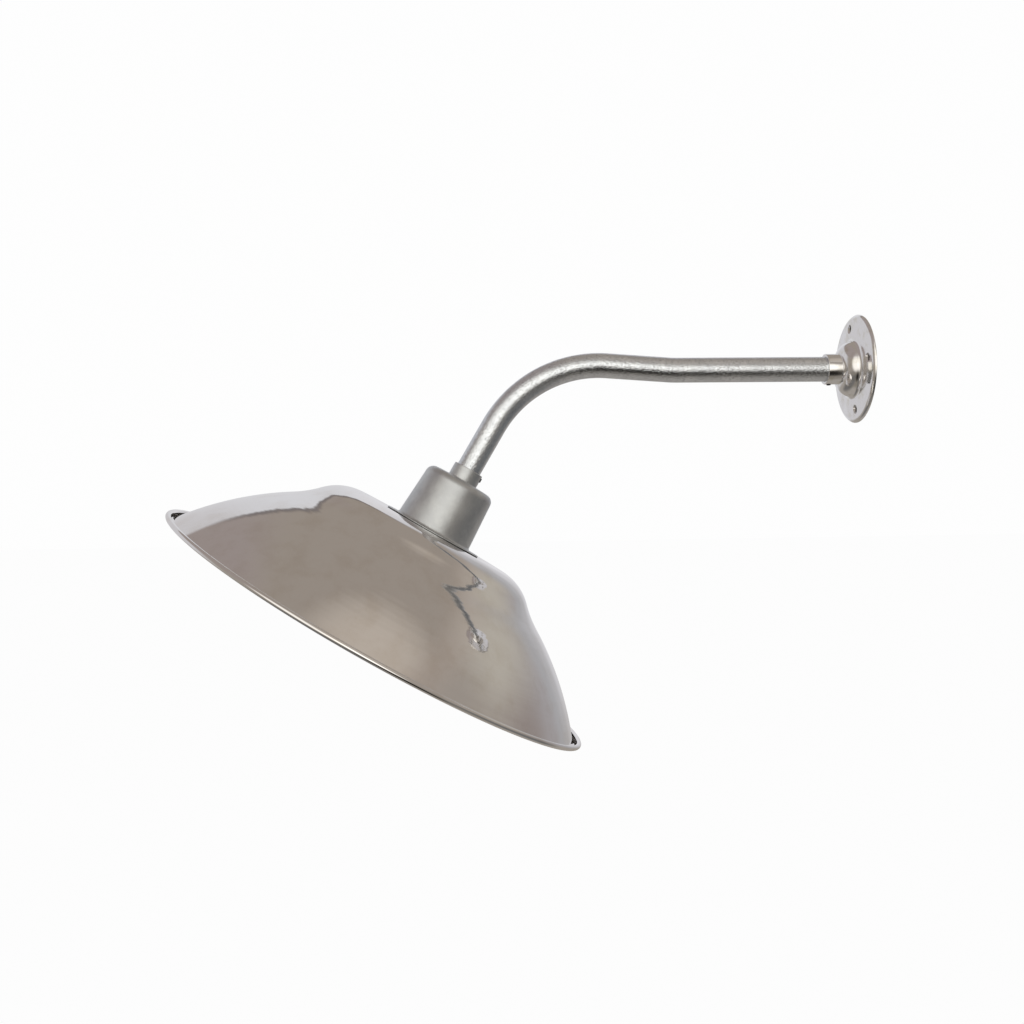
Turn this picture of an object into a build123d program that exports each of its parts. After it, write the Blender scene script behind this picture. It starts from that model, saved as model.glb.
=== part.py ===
from build123d import *
from math import atan2, cos, degrees, radians, sin, tan
import os

# A gooseneck wall sconce: a bent conduit arm carries a spun metal shade out from a round
# wall flange. All sizes are in millimetres and degrees.
#
# +Z is up, the wall is the plane Y = 0, and the arm reaches out from it along -Y. The origin
# is the centre of the wall flange's back face.
# Two distances are used throughout. On the wall flange, t is the distance out from the wall.
# At the lamp end, h is the depth below the housing's underside, measured along the shade's
# tilted axis: positive towards the shade's mouth, negative back up the arm.

os.makedirs("parts", exist_ok=True)

# ---------------------------------------------------------------- clearances
running_fit = 0.05            # radial, a screw or the arm in its hole
through_fit = 0.2             # radial, a screw passing through a plain hole
side_gap = 0.3                # between pieces that lie side by side
blind_end = 0.6               # a blind hole runs on this far past its screw

# ---------------------------------------------------------------- arm
arm_radius = 11.1             # seven-eighths inch steel tube
arm_bore_radius = 8.9
arm_wall_run = 164.2          # from the wall to the first bend
arm_rise_radius = 120.0
arm_rise_angle = 4.2          # the reverse bend that lifts the arm slightly
arm_rise_run = 54.8
arm_bend_radius = 109.2
arm_droop_angle = 59.3        # the lamp end points this far below the horizontal
arm_lamp_run = 109.3          # from the main bend to the housing's underside
arm_setback = 0.5             # the arm stops this far short of the flange's hollow

# ---------------------------------------------------------------- wall flange
rim_radius = 48.5
rim_edge = 0.8                # t where the rounded edge starts
rim_width = 4.5               # of the rounded edge
rim_round = 4.6
face_edge = 3.5               # t of the face at its outer edge
face_height = 4.4             # t of the face where the dome starts
face_crown = 260.0            # radius of the face's slight swell
dome_radius = 25.2
dome_height = 17.0            # t of the dome's top, round the collar
dome_round = 13.5
dome_step = 0.95              # the dome stands this far proud of the collar
dome_fillet = 4.0
collar_wall = 2.53
collar_mouth = 29.7           # t of the collar's mouth
collar_chamfer = 0.6
hollow_radius = 20.0          # the wiring hollow in the back
hollow_depth = 9.5
hollow_round = 4.0
bolt_circle = 75.0
bolt_count = 4
bolt_hole_radius = 2.6
bolt_sink_radius = 4.7
bolt_turn = 8.5               # the holes stand this far round from the horizontal

# ---------------------------------------------------------------- set screws
set_screw_radius = 1.95
set_screw_inset = 3.7         # from the mouth of the collar or hub to the screw's axis
set_screw_proud = 0.8
set_screw_tip_gap = 0.1

# ---------------------------------------------------------------- wire bushings
bushing_bore = 7.0
bushing_lip = 1.6
bushing_lip_inset = 0.5       # the lip is this much smaller in radius than the arm
bushing_sleeve = 6.0

# ---------------------------------------------------------------- socket housing
cup_radius = 35.1             # at its flange
cup_draft = 3.5               # degrees that the cup narrows by towards the hub
cup_wall = 3.0
cup_height = 53.5
cup_roof = 3.5
cup_round = 7.0
cup_inner_round = 3.0
cup_foot_fillet = 2.2
hub_wall = 2.5
hub_height = 12.0
hub_lip_round = 0.6
hub_root_fillet = 1.2
fitter_radius = 45.3          # the flange round the cup's open end
fitter_thickness = 2.8
fitter_edge_round = 0.6
boss_radius = 3.8             # posts for the clamp screws
boss_inset = 2.5              # from the cup's inner wall at the roof to a post's axis
boss_count = 4
boss_angle = 45.0
pad_radius = 5.5              # lugs for the holder's bracket
pad_inset = 4.2
pad_height = 14.0

# ---------------------------------------------------------------- gasket, shade and clamp ring
gasket_thickness = 1.5
gasket_inset = 1.6            # in from the edge of the housing's flange
sheet = 1.0                   # thickness of the spun sheet
neck_margin = 1.0             # the shade's neck is this much wider than the cup's inside
seat_overhang = 1.0           # the flat seat runs on this far past the housing's flange
crease_radius = 2.0           # where the seat meets the dish
dish_angle = 9.4              # the crown climbs from the seat to the shoulder
dish_length = 16.0
shoulder_radius = 46.8
shoulder_slope = 46.0
waist_radius = 99.2
waist_slope = 31.9
shade_radius = 204.7          # over the rolled rim: a sixteen inch shade
foot_inset = 8.2              # from the rolled rim in to the foot of the skirt
foot_depth = 94.7
flare_radius = 2.5
bead_radius = 2.3             # outside radius of the rolled rim
bead_turn = 255.0
ring_margin = 1.3             # between the holder's mouth and the clamp ring
ring_inset = 3.8              # in from the edge of the housing's flange
ring_thickness = 1.6
spigot_wall = 1.5

# ---------------------------------------------------------------- screws
clamp_screw_radius = 2.0
clamp_head_radius = 3.8
clamp_head_height = 2.4
clamp_screw_length = 11.0
small_screw_radius = 1.75
small_head_radius = 2.8
small_head_height = 1.8
head_round = 0.9
holder_screw_length = 8.0
bracket_screw_length = 7.0
terminal_screw_length = 5.0
earth_screw_length = 3.9

# ---------------------------------------------------------------- lamp holder
bracket_thickness = 1.5
bracket_width = 11.0
bracket_end_gap = 0.6         # from the bracket's ends to the cup's wall
holder_radius = 20.0
holder_height = 35.5
holder_round = 1.5
holder_mouth_radius = 21.2
holder_mouth_height = 5.0
holder_mouth_round = 0.8
holder_screw_reach = 11.0     # from the axis to each screw that holds the porcelain
socket_depth = 25.5
shell_wall = 0.6
shell_recess = 1.5            # the shell stops this far inside the holder's mouth
pocket_depth = 3.5            # the terminal pockets, cut into the holder's side
pocket_half_width = 5.0
pocket_past_floor = 1.3
strip_thickness = 0.6         # brass strips of the contact and the shell
strip_half_width = 2.8
groove_depth = 1.1            # the contact strip lies in a groove of the socket's floor
strip_leg = 7.3
contact_bend = 5.0            # from the axis to where the centre contact starts to rise
contact_rise = 2.2            # of its crest above the socket's floor
contact_tail = 4.5
contact_tail_drop = 0.8
terminal_drop = 4.0           # from the socket's floor back to the terminal screws

# ---------------------------------------------------------------- earth point
earth_reach = 19.0            # from the axis
earth_angle = 45.0
earth_pad_radius = 3.4
earth_pad_height = 1.0
lug_thickness = 0.8
lug_radius = 3.2
lug_neck_width = 3.0
lug_neck_length = 5.5         # from the earth screw to the barrel
lug_barrel_length = 4.0
lug_barrel_wall = 0.4
lug_run_in = 1.0              # of straight lead outside the barrel

# ---------------------------------------------------------------- leads
lead_radius = 1.3
lead_spread = 3.0             # the line and neutral leads lie this far to each side of the arm's axis
lead_drop = 1.7               # and this far below it
earth_lead_rise = 3.4
lead_reach = 2.5              # past the arm's end, into the flange's hollow
lead_fan_start = 4.0          # the leads start to fan out this far above the cup's roof
lead_bend_radius = 3.0

# ---------------------------------------------------------------- lamp
lamp_contact_gap = 0.3        # between the lamp's contact and the centre contact
cap_radius = 13.0
cap_wall = 0.4
cap_length = 22.5
cap_hole_radius = 11.0
thread_gap = 0.3              # radial, between the cap and the screw shell
insulator_height = 3.0
insulator_tip_radius = 5.2
insulator_plug = 1.6
insulator_ledge = 1.0         # the insulator's foot overlaps the cap's lip by this much
tip_radius = 4.6
tip_height = 1.5
tip_round = 0.9
glass_wall = 0.8
bulb_radius = 30.0
bulb_centre = 80.0            # from the contact's end to the middle of the bulb
neck_overlap = 6.0            # of the glass neck inside the cap
neck_run = 2.0                # of straight neck past the cap
stem_flare_height = 7.0
stem_length = 26.0
stem_radius = 3.6
post_radius = 1.1
post_length = 14.0
button_radius = 1.8
filament_radius = 0.45
filament_reach = 14.0         # from the axis to each end
filament_bow = 7.0
filament_height = 78.0        # from the contact's end
wire_radius = 0.25
wire_spread = 2.0             # the lead-in wires leave the stem this far off the axis
wire_end_gap = 0.1

# ================================================================ shared frames
wall_frame = Plane((0, 0, 0), x_dir=(1, 0, 0), z_dir=(0, -1, 0))      # z is t
wall_profile = Plane((0, 0, 0), x_dir=(1, 0, 0), z_dir=(0, 0, -1))    # x is radius, y is t
wall_axis = Axis((0, 0, 0), (0, -1, 0))


def arm_route(wall_end, lamp_end):
    """The arm's centreline, from t = wall_end in the flange to h = lamp_end in the housing."""
    with BuildLine(Plane.YZ) as route:
        wall_run = Line((-wall_end, 0), (-arm_wall_run, 0))
        rise = JernArc(wall_run @ 1, wall_run % 1, arm_rise_radius, -arm_rise_angle)
        rise_run = Line(rise @ 1, rise @ 1 + (rise % 1) * arm_rise_run)
        bend = JernArc(rise_run @ 1, rise_run % 1, arm_bend_radius, arm_rise_angle + arm_droop_angle)
        Line(bend @ 1, bend @ 1 + (bend % 1) * (arm_lamp_run + lamp_end))
    return route.wires()[0]


arm_axis = arm_route(0, 0)
lamp_origin = arm_axis @ 1
lamp_direction = arm_axis % 1
lamp_frame = Plane(lamp_origin, x_dir=(1, 0, 0), z_dir=lamp_direction)    # z is h
lamp_profile = Plane(lamp_origin, x_dir=(1, 0, 0), z_dir=Vector(1, 0, 0).cross(lamp_direction))
lamp_axis = Axis(lamp_origin, lamp_direction)


def lamp_plane(x, y, h, facing):
    """A plane at a point of the lamp end, facing along the given direction."""
    return Plane(lamp_frame.from_local_coords((x, y, h)), z_dir=facing)


def circles(piece, radius):
    """The circular edges of one radius."""
    edges = piece.edges().filter_by(GeomType.CIRCLE)
    return edges.filter_by(lambda edge: abs(edge.radius - radius) < 0.001)


def finish(piece, name):
    """Label a finished piece and write its STEP file."""
    piece.part.label = name
    export_step(piece.part, f"parts/{name}.step")


# ================================================================ wall flange
# A casting: a round plate with a rounded edge, a dome, and a collar that grips the arm.
arm_hole_radius = arm_radius + running_fit
collar_radius = arm_hole_radius + collar_wall
face_radius = rim_radius - rim_width
dome_neck = collar_radius + dome_step
collar_screw_seat = Plane((0, set_screw_inset - collar_mouth, -collar_radius), z_dir=(0, 0, -1))

with BuildPart() as wall_flange:
    with BuildSketch(wall_profile):
        with BuildLine():
            Polyline((hollow_radius, 0), (rim_radius, 0), (rim_radius, rim_edge))
            RadiusArc((rim_radius, rim_edge), (face_radius, face_edge), -rim_round)
            RadiusArc((face_radius, face_edge), (dome_radius, face_height), -face_crown)
            RadiusArc((dome_radius, face_height), (dome_neck, dome_height), -dome_round)
            Polyline(
                (dome_neck, dome_height),
                (collar_radius, dome_height),
                (collar_radius, collar_mouth),
                (arm_hole_radius, collar_mouth),
                (arm_hole_radius, hollow_depth),
                (hollow_radius, hollow_depth),
                (hollow_radius, 0),
            )
        make_face()
    revolve(axis=wall_axis)
    fillet(circles(wall_flange, dome_radius), dome_fillet)
    fillet(circles(wall_flange, hollow_radius).sort_by(Axis.Y)[0], hollow_round)
    chamfer(circles(wall_flange, collar_radius).sort_by(Axis.Y)[0], collar_chamfer)
    with Locations(wall_frame.offset(face_height)):
        with PolarLocations(bolt_circle / 2, bolt_count, start_angle=bolt_turn):
            CounterSinkHole(bolt_hole_radius, bolt_sink_radius, counter_sink_angle=90)
    with Locations(collar_screw_seat):
        Hole(set_screw_radius + running_fit, depth=collar_radius - arm_radius)
finish(wall_flange, "wall_flange")

# ================================================================ arm and wire bushings
arm_wall_end = hollow_depth + arm_setback
roof_level = cup_roof - cup_height
arm_lamp_end = roof_level - bushing_lip

with BuildPart() as gooseneck_arm:
    with BuildSketch(wall_frame.offset(arm_wall_end)):
        Circle(arm_radius)
        Circle(arm_bore_radius, mode=Mode.SUBTRACT)
    sweep(path=arm_route(arm_wall_end, arm_lamp_end))
finish(gooseneck_arm, "gooseneck_arm")


def wire_bushing(arm_end, name):
    """A nylon sleeve with a lip, pushed into an end of the arm. The plane looks into the arm."""
    with BuildPart() as bushing:
        with BuildSketch(arm_end.offset(-bushing_lip)):
            Circle(arm_radius - bushing_lip_inset)
            Circle(bushing_bore, mode=Mode.SUBTRACT)
        extrude(amount=bushing_lip)
        with BuildSketch(arm_end):
            Circle(arm_bore_radius - running_fit)
            Circle(bushing_bore, mode=Mode.SUBTRACT)
        extrude(amount=bushing_sleeve)
    finish(bushing, name)


wire_bushing(wall_frame.offset(arm_wall_end), "wire_bushing_wall")
wire_bushing(lamp_plane(0, 0, arm_lamp_end, -lamp_direction), "wire_bushing_lamp")

# ================================================================ socket housing
# A cast cup over the lamp holder, with a hub for the arm and a flange that seats the shade.
# Inside are posts for the clamp screws, two lugs for the holder's bracket and an earth pad.
crown_radius = cup_radius - (cup_height - fitter_thickness) * tan(radians(cup_draft))
cup_inner = cup_radius - cup_wall
crown_inner = crown_radius - cup_wall
hub_radius = arm_hole_radius + hub_wall
hub_mouth = -cup_height - hub_height
boss_reach = crown_inner - boss_inset
pad_reach = crown_inner - pad_inset
bracket_level = roof_level + pad_height
holder_level = bracket_level + bracket_thickness
earth_level = roof_level + earth_pad_height
ring_level = gasket_thickness + sheet
ring_face = ring_level + ring_thickness
boss_angles = [boss_angle + turn * 360 / boss_count for turn in range(boss_count)]
boss_spots = [(boss_reach * cos(radians(a)), boss_reach * sin(radians(a))) for a in boss_angles]
pad_spots = [(0, pad_reach), (0, -pad_reach)]
earth_spot = (earth_reach * cos(radians(earth_angle)), earth_reach * sin(radians(earth_angle)))
hub_screw_seat = lamp_plane(0, -hub_radius, hub_mouth + set_screw_inset, -lamp_frame.y_dir)

with BuildPart() as socket_housing:
    with BuildSketch(lamp_profile):
        with BuildLine():
            FilletPolyline(
                (arm_hole_radius, hub_mouth),
                (hub_radius, hub_mouth),
                (hub_radius, -cup_height),
                (crown_radius, -cup_height),
                (cup_radius, -fitter_thickness),
                (fitter_radius, -fitter_thickness),
                (fitter_radius, 0),
                (cup_inner, 0),
                (crown_inner, roof_level),
                (arm_hole_radius, roof_level),
                radius=[0, hub_lip_round, hub_root_fillet, cup_round, cup_foot_fillet,
                        fitter_edge_round, fitter_edge_round, 0, cup_inner_round, 0],
                close=True,
            )
        make_face()
    revolve(axis=lamp_axis)
    with BuildSketch(lamp_frame):
        with Locations(*boss_spots):
            Circle(boss_radius)
    extrude(amount=roof_level)
    with BuildSketch(lamp_frame.offset(bracket_level)):
        with Locations(*pad_spots):
            Circle(pad_radius)
    extrude(amount=-pad_height)
    with BuildSketch(lamp_frame.offset(earth_level)):
        with Locations(earth_spot):
            Circle(earth_pad_radius)
    extrude(amount=-earth_pad_height)
    with Locations(lamp_frame):
        with Locations(*boss_spots):
            Hole(clamp_screw_radius + running_fit, depth=clamp_screw_length - ring_face + blind_end)
    with Locations(lamp_frame.offset(bracket_level)):
        with Locations(*pad_spots):
            Hole(small_screw_radius + running_fit, depth=bracket_screw_length - bracket_thickness + blind_end)
    with Locations(lamp_frame.offset(earth_level)):
        with Locations(earth_spot):
            Hole(small_screw_radius + running_fit, depth=earth_screw_length - lug_thickness + blind_end)
    with Locations(hub_screw_seat):
        Hole(set_screw_radius + running_fit, depth=hub_radius - arm_radius)
finish(socket_housing, "socket_housing")

# ================================================================ set screws
# Grub screws under the collar and the hub. They lock the arm once the shade hangs straight.


def set_screw(seat, grip_radius, name):
    """A grub screw standing a little proud of its seat, with its tip just off the arm."""
    with BuildPart() as screw:
        with BuildSketch(seat.offset(set_screw_proud)):
            Circle(set_screw_radius)
        extrude(amount=arm_radius + set_screw_tip_gap - grip_radius - set_screw_proud)
    finish(screw, name)


set_screw(collar_screw_seat, collar_radius, "flange_set_screw")
set_screw(hub_screw_seat, hub_radius, "housing_set_screw")

# ================================================================ gasket, shade and clamp ring
neck_radius = cup_inner + neck_margin

with BuildPart() as shade_gasket:
    with BuildSketch(lamp_frame):
        Circle(fitter_radius - gasket_inset)
        Circle(neck_radius, mode=Mode.SUBTRACT)
    extrude(amount=gasket_thickness)
finish(shade_gasket, "shade_gasket")


def across(skin, where, thickness):
    """The point through a sheet from a point on its outer skin."""
    return skin @ where + Vector(0, 0, 1).cross(skin % where) * thickness


def inner_skin(lines, arcs, thickness):
    """Draw the inner skin of a sheet from the lines and arcs of its outer skin."""
    for line in lines:
        Line(across(line, 0, thickness), across(line, 1, thickness))
    for arc in arcs:
        ThreePointArc(*[across(arc, where, thickness) for where in (0, 0.5, 1)])


# The shade is spun from one sheet. Its outer skin runs from the neck over a dished crown and a
# round shoulder into a hollow waist and a full skirt, flares out and curls up into the rim.
with BuildPart() as shade:
    with BuildSketch(lamp_profile):
        with BuildLine():
            seat = Line((neck_radius, gasket_thickness), (fitter_radius + seat_overhang, gasket_thickness))
            crease = JernArc(seat @ 1, seat % 1, crease_radius, -dish_angle)
            dish = PolarLine(crease @ 1, dish_length, -dish_angle)
            shoulder = JernArc(dish @ 1, dish % 1, shoulder_radius, dish_angle + shoulder_slope)
            waist = JernArc(shoulder @ 1, shoulder % 1, waist_radius, waist_slope - shoulder_slope)
            skirt = TangentArc(waist @ 1, (shade_radius - foot_inset, foot_depth), tangent=waist % 1)
            skirt_slope = degrees(atan2((skirt % 1).Y, (skirt % 1).X))
            flare = JernArc(skirt @ 1, skirt % 1, flare_radius, -skirt_slope)
            ledge = Line(flare @ 1, (shade_radius - bead_radius, (flare @ 1).Y))
            bead = JernArc(ledge @ 1, ledge % 1, bead_radius - sheet, -bead_turn)
            inner_skin((seat, dish, ledge), (crease, shoulder, waist, skirt, flare, bead), sheet)
            Line(seat @ 0, across(seat, 0, sheet))
            Line(bead @ 1, across(bead, 1, sheet))
        make_face()
    revolve(axis=lamp_axis)
finish(shade, "shade")

# A steel ring inside the shade. Its spigot centres the shade's neck, and its plate pulls the
# crown up against the gasket.
ring_inner = holder_mouth_radius + ring_margin
spigot_outer = neck_radius - side_gap

with BuildPart() as clamp_ring:
    with BuildSketch(lamp_profile):
        with BuildLine():
            Polyline(
                (ring_inner, ring_level),
                (spigot_outer - spigot_wall, ring_level),
                (spigot_outer - spigot_wall, side_gap),
                (spigot_outer, side_gap),
                (spigot_outer, ring_level),
                (fitter_radius - ring_inset, ring_level),
                (fitter_radius - ring_inset, ring_face),
                (ring_inner, ring_face),
                close=True,
            )
        make_face()
    revolve(axis=lamp_axis)
    with Locations(lamp_frame.offset(ring_face)):
        with Locations(*boss_spots):
            Hole(clamp_screw_radius + through_fit, depth=ring_thickness)
finish(clamp_ring, "clamp_ring")

# ================================================================ bracket of the lamp holder
# A steel strap across the cup, screwed to the two lugs. The porcelain hangs from it.
strap_spots = [(0, holder_screw_reach), (0, -holder_screw_reach)]

with BuildPart() as holder_bracket:
    with BuildSketch(lamp_frame.offset(bracket_level)):
        SlotOverall(2 * (crown_inner - bracket_end_gap), bracket_width, rotation=90)
        with Locations(*pad_spots, *strap_spots):
            Circle(small_screw_radius + through_fit, mode=Mode.SUBTRACT)
    extrude(amount=bracket_thickness)
finish(holder_bracket, "holder_bracket")

# ================================================================ porcelain lamp holder
# A socket opens towards the lamp. Each side has a pocket for a terminal. The centre contact
# lies in a groove of the socket's floor, and the screw shell's tab leaves through a slot.
mouth_level = holder_level + holder_height
floor_level = mouth_level - socket_depth
groove_level = floor_level - groove_depth
terminal_level = floor_level - terminal_drop
shell_outer = cap_radius + thread_gap + shell_wall
pocket_face = holder_radius - pocket_depth
terminal_face = pocket_face + strip_thickness
pocket_end = floor_level + pocket_past_floor
slot_half_width = strip_half_width + side_gap
slot_height = strip_thickness + side_gap
bore_depth = terminal_screw_length - strip_thickness + blind_end

with BuildPart() as holder_body:
    with BuildSketch(lamp_profile):
        with BuildLine():
            FilletPolyline(
                (0, holder_level),
                (holder_radius, holder_level),
                (holder_radius, mouth_level - holder_mouth_height),
                (holder_mouth_radius, mouth_level - holder_mouth_height),
                (holder_mouth_radius, mouth_level),
                (shell_outer + side_gap, mouth_level),
                (shell_outer + side_gap, floor_level),
                (0, floor_level),
                radius=[0, holder_round, 0, holder_mouth_round, holder_mouth_round, holder_mouth_round, 0, 0],
                close=True,
            )
        make_face()
    revolve(axis=lamp_axis)
    for side in (-1, 1):
        with Locations(lamp_frame):
            with Locations((side * (pocket_face + pocket_depth), 0, (holder_level + pocket_end) / 2)):
                Box(2 * pocket_depth, 2 * pocket_half_width, pocket_end - holder_level, mode=Mode.SUBTRACT)
        with Locations(lamp_plane(side * pocket_face, 0, terminal_level, lamp_frame.x_dir * side)):
            Hole(small_screw_radius + running_fit, depth=bore_depth)
    with BuildSketch(lamp_frame.offset(groove_level)):
        with Locations((-contact_tail - side_gap, 0)):
            Rectangle(holder_radius + contact_tail, 2 * slot_half_width, align=(Align.MIN, Align.CENTER))
    extrude(amount=groove_depth, mode=Mode.SUBTRACT)
    with BuildSketch(lamp_frame.offset(floor_level)):
        with Locations((-holder_radius, 0)):
            Rectangle(holder_radius - contact_bend, 2 * slot_half_width, align=(Align.MIN, Align.CENTER))
    extrude(amount=slot_height, mode=Mode.SUBTRACT)
    with Locations(lamp_frame.offset(holder_level)):
        with Locations(*strap_spots):
            Hole(small_screw_radius + running_fit, depth=holder_screw_length - bracket_thickness + blind_end)
finish(holder_body, "holder_body")

# The threaded shell of the socket, with a tab bent back along a pocket to its terminal.
tab_end = floor_level - strip_leg

with BuildPart() as screw_shell:
    with BuildSketch(lamp_frame.offset(floor_level)):
        Circle(shell_outer)
        Circle(shell_outer - shell_wall, mode=Mode.SUBTRACT)
    extrude(amount=socket_depth - shell_recess)
    with BuildSketch(lamp_profile):
        with BuildLine():
            Polyline(
                (shell_wall / 2 - shell_outer, floor_level),
                (-pocket_face, floor_level),
                (-pocket_face, tab_end),
                (-terminal_face, tab_end),
                (-terminal_face, floor_level + strip_thickness),
                (shell_wall / 2 - shell_outer, floor_level + strip_thickness),
                close=True,
            )
        make_face()
    extrude(amount=strip_half_width, both=True)
    with Locations(lamp_plane(-terminal_face, 0, terminal_level, -lamp_frame.x_dir)):
        Hole(small_screw_radius + through_fit, depth=strip_thickness)
finish(screw_shell, "screw_shell")

# The centre contact: a brass leaf that springs up under the lamp and runs out to the other
# terminal along the groove.
crest_level = floor_level + contact_rise - strip_thickness

with BuildPart() as centre_contact:
    with BuildSketch(lamp_profile):
        with BuildLine():
            Polyline(
                (pocket_face, tab_end),
                (pocket_face, groove_level),
                (contact_bend, groove_level),
                (0, crest_level),
                (-contact_tail, crest_level - contact_tail_drop),
            )
            offset(amount=strip_thickness, side=Side.RIGHT, kind=Kind.INTERSECTION)
        make_face()
    extrude(amount=strip_half_width, both=True)
    with Locations(lamp_plane(terminal_face, 0, terminal_level, lamp_frame.x_dir)):
        Hole(small_screw_radius + through_fit, depth=strip_thickness)
finish(centre_contact, "centre_contact")

# ================================================================ earth terminal
# A ring lug under a screw on the earth pad. Its barrel grips the earth lead.
earth_inward = lamp_frame.from_local_coords((0, 0, 0)) - lamp_frame.from_local_coords((*earth_spot, 0))
earth_frame = Plane(
    lamp_frame.from_local_coords((*earth_spot, earth_level)), x_dir=earth_inward, z_dir=lamp_direction
)
barrel_radius = lead_radius + running_fit + lug_barrel_wall
lead_level = earth_level + barrel_radius
barrel_start = Plane(
    earth_frame.from_local_coords((lug_neck_length, 0, barrel_radius)), z_dir=earth_frame.x_dir
)

with BuildPart() as earth_terminal:
    with BuildSketch(earth_frame):
        Circle(lug_radius)
        Rectangle(lug_neck_length, lug_neck_width, align=(Align.MIN, Align.CENTER))
        Circle(small_screw_radius + through_fit, mode=Mode.SUBTRACT)
    extrude(amount=lug_thickness)
    with BuildSketch(barrel_start):
        Circle(barrel_radius)
        Circle(lead_radius + running_fit, mode=Mode.SUBTRACT)
    extrude(amount=lug_barrel_length)
finish(earth_terminal, "earth_terminal")

# ================================================================ pan-head screws
# Each group of alike screws is one node of separate solids.


def pan_screws(name, seats, shank_radius, length, head_radius, head_height):
    """Alike screws. Each seat is the plane under a head, and it faces the way the head does."""
    with BuildPart() as screws:
        for seat in seats:
            with BuildSketch(Plane(seat.origin, x_dir=seat.x_dir, z_dir=-seat.y_dir)):
                with BuildLine():
                    FilletPolyline(
                        (0, -length),
                        (shank_radius, -length),
                        (shank_radius, 0),
                        (head_radius, 0),
                        (head_radius, head_height),
                        (0, head_height),
                        radius=[0, 0, 0, 0, head_round, 0],
                        close=True,
                    )
                make_face()
            revolve(axis=Axis(seat.origin, seat.z_dir))
    finish(screws, name)


def small_screws(name, seats, length):
    """Alike screws of the small size, which is used all through the lamp holder."""
    pan_screws(name, seats, small_screw_radius, length, small_head_radius, small_head_height)


clamp_seats = [lamp_plane(x, y, ring_face, lamp_direction) for x, y in boss_spots]
bracket_seats = [lamp_plane(x, y, holder_level, lamp_direction) for x, y in pad_spots]
holder_seats = [lamp_plane(x, y, bracket_level, -lamp_direction) for x, y in strap_spots]
terminal_seats = [
    lamp_plane(side * terminal_face, 0, terminal_level, lamp_frame.x_dir * side) for side in (-1, 1)
]
pan_screws(
    "clamp_screws", clamp_seats, clamp_screw_radius, clamp_screw_length, clamp_head_radius, clamp_head_height
)
small_screws("bracket_screws", bracket_seats, bracket_screw_length)
small_screws("holder_screws", holder_seats, holder_screw_length)
small_screws("terminal_screws", terminal_seats, terminal_screw_length)
small_screws("earth_screw", [earth_frame.offset(lug_thickness)], earth_screw_length)

# ================================================================ leads
# Three insulated leads run the whole length of the arm, side by side. Above the lamp holder
# they fan out: line and neutral to the terminals in the side pockets, earth to its lug.
lead_wall_end = arm_wall_end - lead_reach
fan_level = roof_level - lead_fan_start
lead_end_level = terminal_level - small_head_radius - side_gap
lead_end_reach = terminal_face + side_gap + lead_radius
lug_entry = (earth_reach - lug_neck_length - side_gap) / earth_reach
lug_turn = (earth_reach - lug_neck_length - lug_barrel_length - lug_run_in) / earth_reach


def lead(name, x, y, *fan_points):
    """A lead at (x, y) in the arm's bore, led on through the points given as (x, y, h)."""
    with BuildLine() as fan:
        FilletPolyline(
            lamp_frame.from_local_coords((x, y, fan_level)),
            *[lamp_frame.from_local_coords(point) for point in fan_points],
            radius=lead_bend_radius,
        )
    with BuildPart() as wire:
        with BuildSketch(wall_frame.offset(lead_wall_end)):
            with Locations((x, y)):
                Circle(lead_radius)
        sweep(path=arm_route(lead_wall_end, fan_level))
        with BuildSketch(lamp_frame.offset(fan_level)):
            with Locations((x, y)):
                Circle(lead_radius)
        sweep(path=fan.wires()[0])
    finish(wire, name)


for side, name in ((-1, "neutral_lead"), (1, "line_lead")):
    end = side * lead_end_reach
    lead(name, side * lead_spread, -lead_drop, (side * lead_spread, -lead_drop, lead_level),
         (end, 0, lead_level), (end, 0, lead_end_level))
lead("earth_lead", 0, earth_lead_rise, (0, earth_lead_rise, lead_level),
     (earth_spot[0] * lug_turn, earth_spot[1] * lug_turn, lead_level),
     (earth_spot[0] * lug_entry, earth_spot[1] * lug_entry, lead_level))

# ================================================================ lamp
# A screw-in lamp with a round glass bulb. Its contact stops just off the centre contact.
tip_level = floor_level + contact_rise + lamp_contact_gap
insulator_level = tip_level + tip_height
cap_level = insulator_level + insulator_height
cap_end = cap_level + cap_length
bulb_level = tip_level + bulb_centre

with BuildPart() as lamp_contact:
    with BuildSketch(lamp_frame.offset(tip_level)):
        Circle(tip_radius)
    extrude(amount=tip_height)
    fillet(lamp_contact.faces().sort_by(lamp_axis)[0].edges(), tip_round)
finish(lamp_contact, "lamp_contact")

with BuildPart() as lamp_cap_insulator:
    with BuildSketch(lamp_profile):
        with BuildLine():
            Polyline(
                (0, insulator_level),
                (insulator_tip_radius, insulator_level),
                (cap_hole_radius + insulator_ledge, cap_level),
                (cap_hole_radius - running_fit, cap_level),
                (cap_hole_radius - running_fit, cap_level + insulator_plug),
                (0, cap_level + insulator_plug),
                close=True,
            )
        make_face()
    revolve(axis=lamp_axis)
finish(lamp_cap_insulator, "lamp_cap_insulator")

with BuildPart() as lamp_cap:
    with BuildSketch(lamp_profile):
        with BuildLine():
            Polyline(
                (cap_hole_radius, cap_level),
                (cap_radius, cap_level),
                (cap_radius, cap_end),
                (cap_radius - cap_wall, cap_end),
                (cap_radius - cap_wall, cap_level + cap_wall),
                (cap_hole_radius, cap_level + cap_wall),
                close=True,
            )
        make_face()
    revolve(axis=lamp_axis)
finish(lamp_cap, "lamp_cap")

# The neck meets the round bulb through a hollow throat that is tangent to both.
glass_neck = cap_radius - cap_wall - side_gap
throat_level = cap_end + neck_run
throat_rise = bulb_level - throat_level
throat_radius = (glass_neck**2 + throat_rise**2 - bulb_radius**2) / (2 * (bulb_radius - glass_neck))
globe_share = bulb_radius / (bulb_radius + throat_radius)
globe_start = ((glass_neck + throat_radius) * globe_share, bulb_level - throat_rise * globe_share)

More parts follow.
